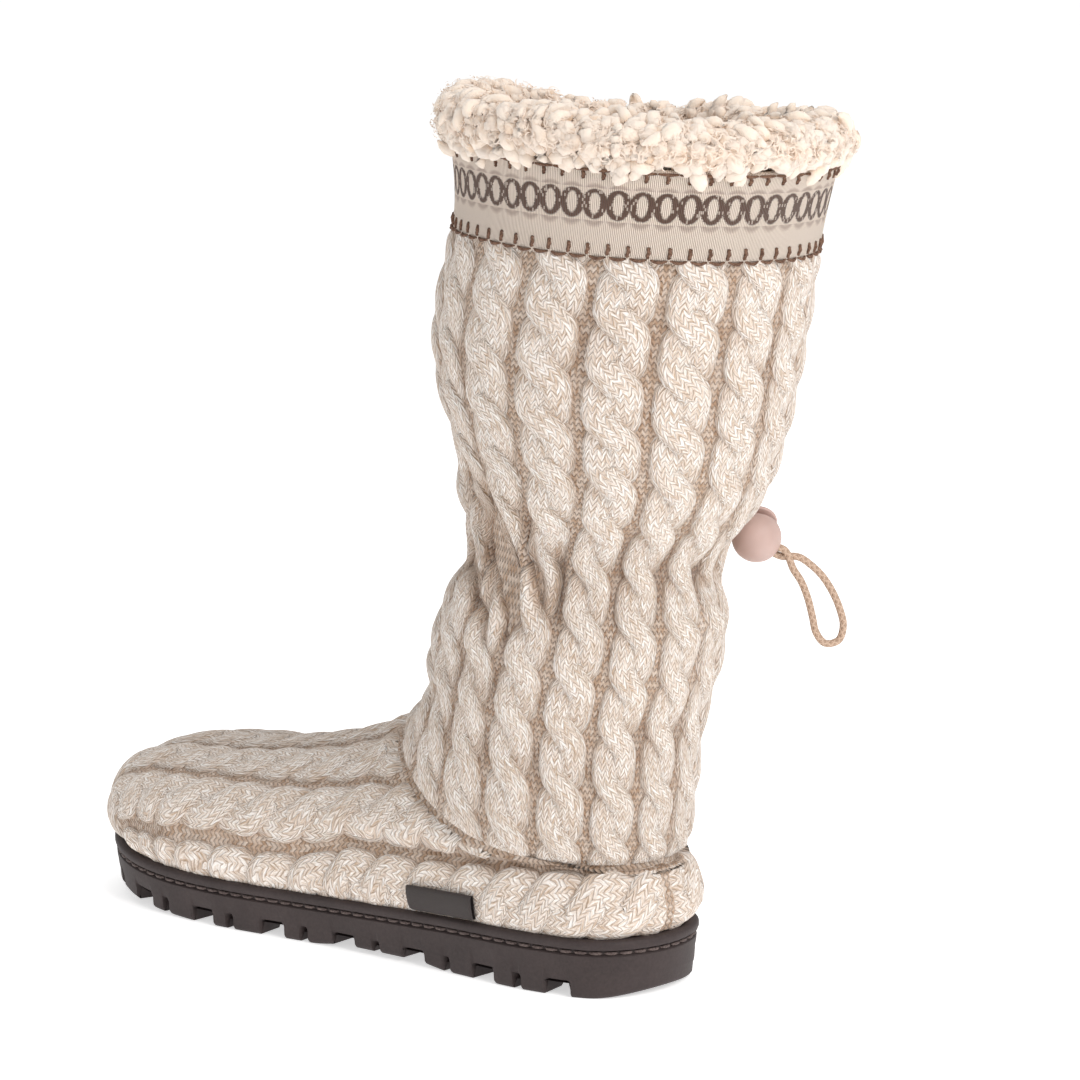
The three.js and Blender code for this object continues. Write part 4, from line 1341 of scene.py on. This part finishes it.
def make_sole():
    turn = even_turns(960)
    x0 = outline_x(turn)
    rows = []

    def ring(inset, height):
        x, y = outline_point(turn, inset)
        rows.append(np.stack([x, y, np.broadcast_to(height, x.shape)], -1))

    x_edge, y_edge = outline_point(turn, 0.0)
    cut = tread_cut(x_edge, y_edge)
    top = sole_top(x0)
    bottom = sole_bottom(x0)
    arch = ARCH_RELIEF * smooth_step(x0, 34, 50) * (1 - smooth_step(x0, 82, 98))
    lug_foot = bottom + arch
    groove_floor = bottom + LUG_DEPTH
    for inset in (33.0, 33.0, 30.0, 18.0):
        ring(inset, groove_floor)
    low = lug_foot + (groove_floor - 0.2 - lug_foot) * cut
    ring(16.0, groove_floor)
    ring(15.0, low)
    ring(3.6, low)
    ring(2.9 + 3.2 * cut, low + 0.5)
    ring(2.2 + 3.6 * cut, low + 1.4)
    ring(1.9 + 3.6 * cut, np.maximum(low + 1.6, bottom + LUG_DEPTH - 0.3))
    ring(1.7 + 3.0 * cut, bottom + LUG_DEPTH + 0.3)
    ring(1.5 + 0.6 * cut, bottom + LUG_DEPTH + 1.2)
    for drop, inset in SOLE_SIDE[::-1]:
        ring(inset, top - drop)
    for inset in (4.0, 9.0, 18.0, 30.0):
        ring(inset, top - 0.1)
    points = np.stack(rows)
    obj = piece_from("outsole_rubber", points, grid_faces(len(points), len(turn)))
    edit_mesh(obj, SELECT_NONE, SELECT_OPEN_EDGES, (bpy.ops.mesh.fill_holes, {"sides": 0}))
    bpy.ops.object.shade_smooth_by_angle(angle=math.radians(40))
    return obj


def sole_stitches():
    """Running stitches in the groove round the sole."""
    count = 112
    paths = []
    parts = np.linspace(0, 1, 7)
    fine = even_turns(count * 24, 1.2)
    for k in range(count):
        turn = np.interp(k * 24 + 18.5 * parts, np.arange(count * 24), fine)
        x, y = outline_point(turn, 1.15 + 0.7 * (2 * parts - 1) ** 4)
        paths.append(np.stack([x, y, sole_top(outline_x(turn)) - 4.65 + 0 * x], -1))
    radius = 0.62 * np.array([0.6, 0.95, 1, 1, 1, 0.95, 0.6])
    return tubes("outsole_stitches", np.array(paths), np.broadcast_to(radius, (count, 7)))


sole = make_sole()
dress(sole, RUBBER)
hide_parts("outsole")
SOLE_THREAD = yarn_material("sole_thread", srgb(70, 58, 56), srgb(108, 94, 90), 0.6)
dress(sole_stitches(), SOLE_THREAD)


# Side tab


def make_tab():
    columns = 34
    rows = 14
    turn = np.linspace(56.0, 71.0, columns)
    level = np.linspace(0.35, 1.4, rows)
    edge = np.minimum(np.arange(columns), np.arange(columns)[::-1])[None] + 0 * level[:, None]
    side = np.minimum(np.arange(rows), np.arange(rows)[::-1])[:, None] + 0 * turn[None]
    lift = 3.2 - 0.6 * np.exp(-edge / 0.8) - 0.5 * np.exp(-side / 0.8)
    face = upper_face(level[:, None], turn[None])
    normal = upper_normal(level[:, None], turn[None])
    outside = face + normal * lift[..., None]
    inside = (face + normal * 1.2)[::-1]
    points = np.concatenate([outside, inside])
    faces = grid_faces(rows * 2, columns, wrap_rows=True, wrap_columns=False)
    obj = piece_from("side_tab_tape", points, faces)
    across, up = np.linspace(0, 27, columns)[None], np.linspace(0, 30, rows * 2)[:, None]
    set_uv(obj, np.stack(np.broadcast_arrays(across, up), -1))
    return obj


def tab_material():
    settings = {"Base Color": srgb(52, 44, 42), "Roughness": 0.6}
    material, tree, shader = new_material("dark_tape", settings)
    across, up = across_and_up(tree, stitch_place(tree))
    relief(tree, shader, wave(up * 2.4) * wave(across * 3.2), 0.5, 0.2)
    return material


tab = make_tab()
dress(tab, tab_material())
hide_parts("side_tab")


# Drawcord and toggle

TOGGLE_CENTRE = np.array([-44.6087, -38.5099, 157.1070])
CORD_WAY = np.array([-0.52247, -0.72174, -0.45399])
BUTTON_WAY = np.array([0.44940, -0.68558, 0.57273])
SIDE_WAY = np.array([-0.72461, 0.09521, 0.68255])
AWAY = np.array([-0.5864, -0.8100, 0.0])
CORD_DIAMETER = 2.6
CORD_STEP = 0.7
CORD_DROP = -1.4
# The hanging loop: out from the toggle, up from it.
CORD_LOOP = [
    (15.4, -6.4), (19.8, -9.2), (24, -13.2), (27.8, -18.8), (30.8, -25.4), (32.2, -31.6), (30.6, -36.6),
    (25.8, -37.6), (22.4, -33.8), (20.8, -27.6), (19, -21), (16.6, -15.2), (13.6, -10.6),
]


def cord_route():
    """Points the cord passes through, from the knit through the toggle, round the loop and back."""
    pull = BUTTON_WAY * CORD_DROP
    first = [TOGGLE_CENTRE + CORD_WAY * along + SIDE_WAY * -1.6 + pull for along in (-9, -4, 2, 7, 11)]
    loop = [TOGGLE_CENTRE + AWAY * out + np.array([0, 0, up]) + pull for out, up in CORD_LOOP]
    last = [TOGGLE_CENTRE + CORD_WAY * along + SIDE_WAY * 1.6 + pull for along in (11, 7, 2, -4, -8.6)]
    return np.array(first + loop + last)


def smooth_route(route, spacing):
    """An even line through the route's points, without overshoot."""
    padded = np.concatenate([[2 * route[0] - route[1]], route, [2 * route[-1] - route[-2]]])
    line = []
    for k in range(1, len(padded) - 2):
        p0, p1, p2, p3 = padded[k - 1 : k + 3]
        t0 = 0.0
        t1 = t0 + np.linalg.norm(p1 - p0) ** 0.5
        t2 = t1 + np.linalg.norm(p2 - p1) ** 0.5
        t3 = t2 + np.linalg.norm(p3 - p2) ** 0.5
        t = np.linspace(t1, t2, 24, endpoint=False)[:, None]
        a1 = (t1 - t) / (t1 - t0) * p0 + (t - t0) / (t1 - t0) * p1
        a2 = (t2 - t) / (t2 - t1) * p1 + (t - t1) / (t2 - t1) * p2
        a3 = (t3 - t) / (t3 - t2) * p2 + (t - t2) / (t3 - t2) * p3
        b1 = (t2 - t) / (t2 - t0) * a1 + (t - t0) / (t2 - t0) * a2
        b2 = (t3 - t) / (t3 - t1) * a2 + (t - t1) / (t3 - t1) * a3
        line.append((t2 - t) / (t2 - t1) * b1 + (t - t1) / (t2 - t1) * b2)
    line = np.concatenate(line + [route[-1:]])
    length = np.concatenate([[0], np.cumsum(np.linalg.norm(np.diff(line, axis=0), axis=1))])
    places = np.linspace(0, length[-1], int(length[-1] / spacing) + 1)
    return np.stack([np.interp(places, length, line[:, axis]) for axis in range(3)], -1), length[-1]


def cord_material():
    material, tree, shader = new_material("braided_cord", {"Roughness": 0.75})
    across, up = across_and_up(tree, stitch_place(tree))
    braid = reckon("MAXIMUM", wave((across * 4.0 + up) * 2.0), wave((across * 4.0 - up) * 2.0))
    # Painted shade: the braid's low lines are a little darker than its ridges.
    colour = ramp(tree, braid, [(0.1, srgb(182, 153, 131)), (0.75, srgb(198, 171, 150))])
    feed(tree, colour, shader.inputs["Base Color"])
    relief(tree, shader, braid, 0.8, 0.25)
    return material


def make_cord():
    line, length = smooth_route(cord_route(), CORD_STEP)
    sides = 14
    ahead = unit(np.gradient(line, axis=0))
    side = np.zeros_like(ahead)
    side[0] = unit(np.cross(ahead[0], BUTTON_WAY))
    for k in range(1, len(line)):
        side[k] = unit(side[k - 1] - ahead[k] * (side[k - 1] @ ahead[k]))
    over = np.cross(side, ahead)
    angles = 2 * np.pi * np.arange(sides + 1) / sides
    ring = np.cos(angles)[:, None] * side[:, None] + np.sin(angles)[:, None] * over[:, None]
    points = line[:, None] + ring * CORD_DIAMETER / 2
    faces = grid_faces(len(line), sides + 1, wrap_columns=False)[:, ::-1]
    obj = piece_from("drawcord_braid", points, faces)
    along = np.arange(len(line)) * CORD_STEP / CORD_DIAMETER
    around = np.arange(sides + 1) / sides
    set_uv(obj, np.stack(np.broadcast_arrays(around[None], along[:, None]), -1))
    join = (bpy.ops.mesh.remove_doubles, {"threshold": 0.00001})
    close = (bpy.ops.mesh.edge_face_add, {})
    edit_mesh(obj, SELECT_ALL, join, SELECT_NONE, SELECT_OPEN_EDGES, close)
    return obj, line, length


def toggle_material():
    settings = {
        "Roughness": 0.52,
        "Subsurface Weight": 0.1,
        "Subsurface Radius": (0.003, 0.002, 0.0015),
        "Subsurface Scale": 1.0,
    }
    material, tree, shader = new_material("rose_plastic", settings)
    place = object_place(tree)
    colour = ramp(tree, noise(tree, place, 90.0, 2.0), [(0.3, srgb(186, 158, 149)), (0.7, srgb(198, 171, 163))])
    feed(tree, colour, shader.inputs["Base Color"])
    relief(tree, shader, noise(tree, place, 1500.0, 2.0), 0.12, 0.1)
    return material


def turned_part(name, profile, steps=48):
    """A part turned about the toggle's button axis: profile is radius and height, from the foot to the top."""
    angles = 2 * np.pi * np.arange(steps) / steps
    ring = np.cos(angles)[:, None] * CORD_WAY + np.sin(angles)[:, None] * SIDE_WAY
    points = np.stack([TOGGLE_CENTRE + BUTTON_WAY * height + ring * radius for radius, height in profile])
    obj = piece_from(name, points, grid_faces(len(points), steps, wrap_rows=True))
    edit_mesh(obj, SELECT_ALL, (bpy.ops.mesh.remove_doubles, {"threshold": 0.00002}), FACE_OUTWARD)
    bpy.ops.object.shade_smooth_by_angle(angle=math.radians(35))
    return obj


def cut_slot(obj, width, height, low):
    """A slot for the two cords, cut along the cord's way."""
    deselect_all()
    bpy.ops.mesh.primitive_cylinder_add(
        vertices=24, radius=height / 2 * MM, depth=40 * MM, rotation=(0, math.pi / 2, 0)
    )
    tool = bpy.context.object
    select_only(tool)
    bpy.ops.object.transform_apply(location=True, rotation=True, scale=True)
    spread = (width - height) / 2 * MM
    for vertex in tool.data.vertices:
        vertex.co.z, vertex.co.y = vertex.co.y, vertex.co.z
        vertex.co.z += spread if vertex.co.z > 1e-6 else -spread
    axes = Matrix((CORD_WAY, BUTTON_WAY, SIDE_WAY)).transposed()
    place = Matrix.Translation(Vector((TOGGLE_CENTRE + BUTTON_WAY * low) * MM)) @ axes.to_4x4()
    tool.data.transform(place)
    tool.data.update()
    edit_mesh(tool, SELECT_ALL, FACE_OUTWARD)
    cutter = obj.modifiers.new("slot", "BOOLEAN")
    cutter.object = tool
    cutter.solver = "EXACT"
    select_only(obj)
    bpy.ops.object.modifier_apply(modifier="slot")
    bpy.data.objects.remove(tool)


# Profiles of the toggle's two parts: radius, height along the button's axis.
BALL_RADIUS = 8.75
BALL_ANGLES = [math.radians(angle) for angle in range(-90, 26, 5)]
BALL_PROFILE = [(max(0.02, BALL_RADIUS * math.cos(a)), BALL_RADIUS * math.sin(a)) for a in BALL_ANGLES] + [
    (7.75, 4.1), (7.45, 4.45), (7.1, 4.55), (4.85, 4.5), (4.5, 4.3), (4.5, -7.0), (0.02, -7.0),
]
PLUNGER_PROFILE = [
    (0.02, -3.7), (4.2, -3.7), (4.2, 7.75), (5.7, 7.85), (6.25, 8.1), (6.5, 8.7),
    (6.3, 9.3), (5.6, 9.9), (4.6, 10.45), (3.4, 10.9), (1.8, 11.2), (0.02, 11.3),
]

TOGGLE_PLASTIC = toggle_material()
lock_body = turned_part("cord_lock_ball", BALL_PROFILE)
cut_slot(lock_body, 6.4, 3.2, CORD_DROP)
dress(lock_body, TOGGLE_PLASTIC)
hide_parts("cord_lock_body")
plunger = turned_part("cord_lock_button", PLUNGER_PROFILE)
# The button's slot is tall enough to pass the cord all along its travel.
cut_slot(plunger, 7.6, 6.3, 0.1)
dress(plunger, TOGGLE_PLASTIC, "plunger")
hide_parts("cord_lock_plunger")
cord, cord_line, cord_length = make_cord()
dress(cord, cord_material())
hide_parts("drawcord")
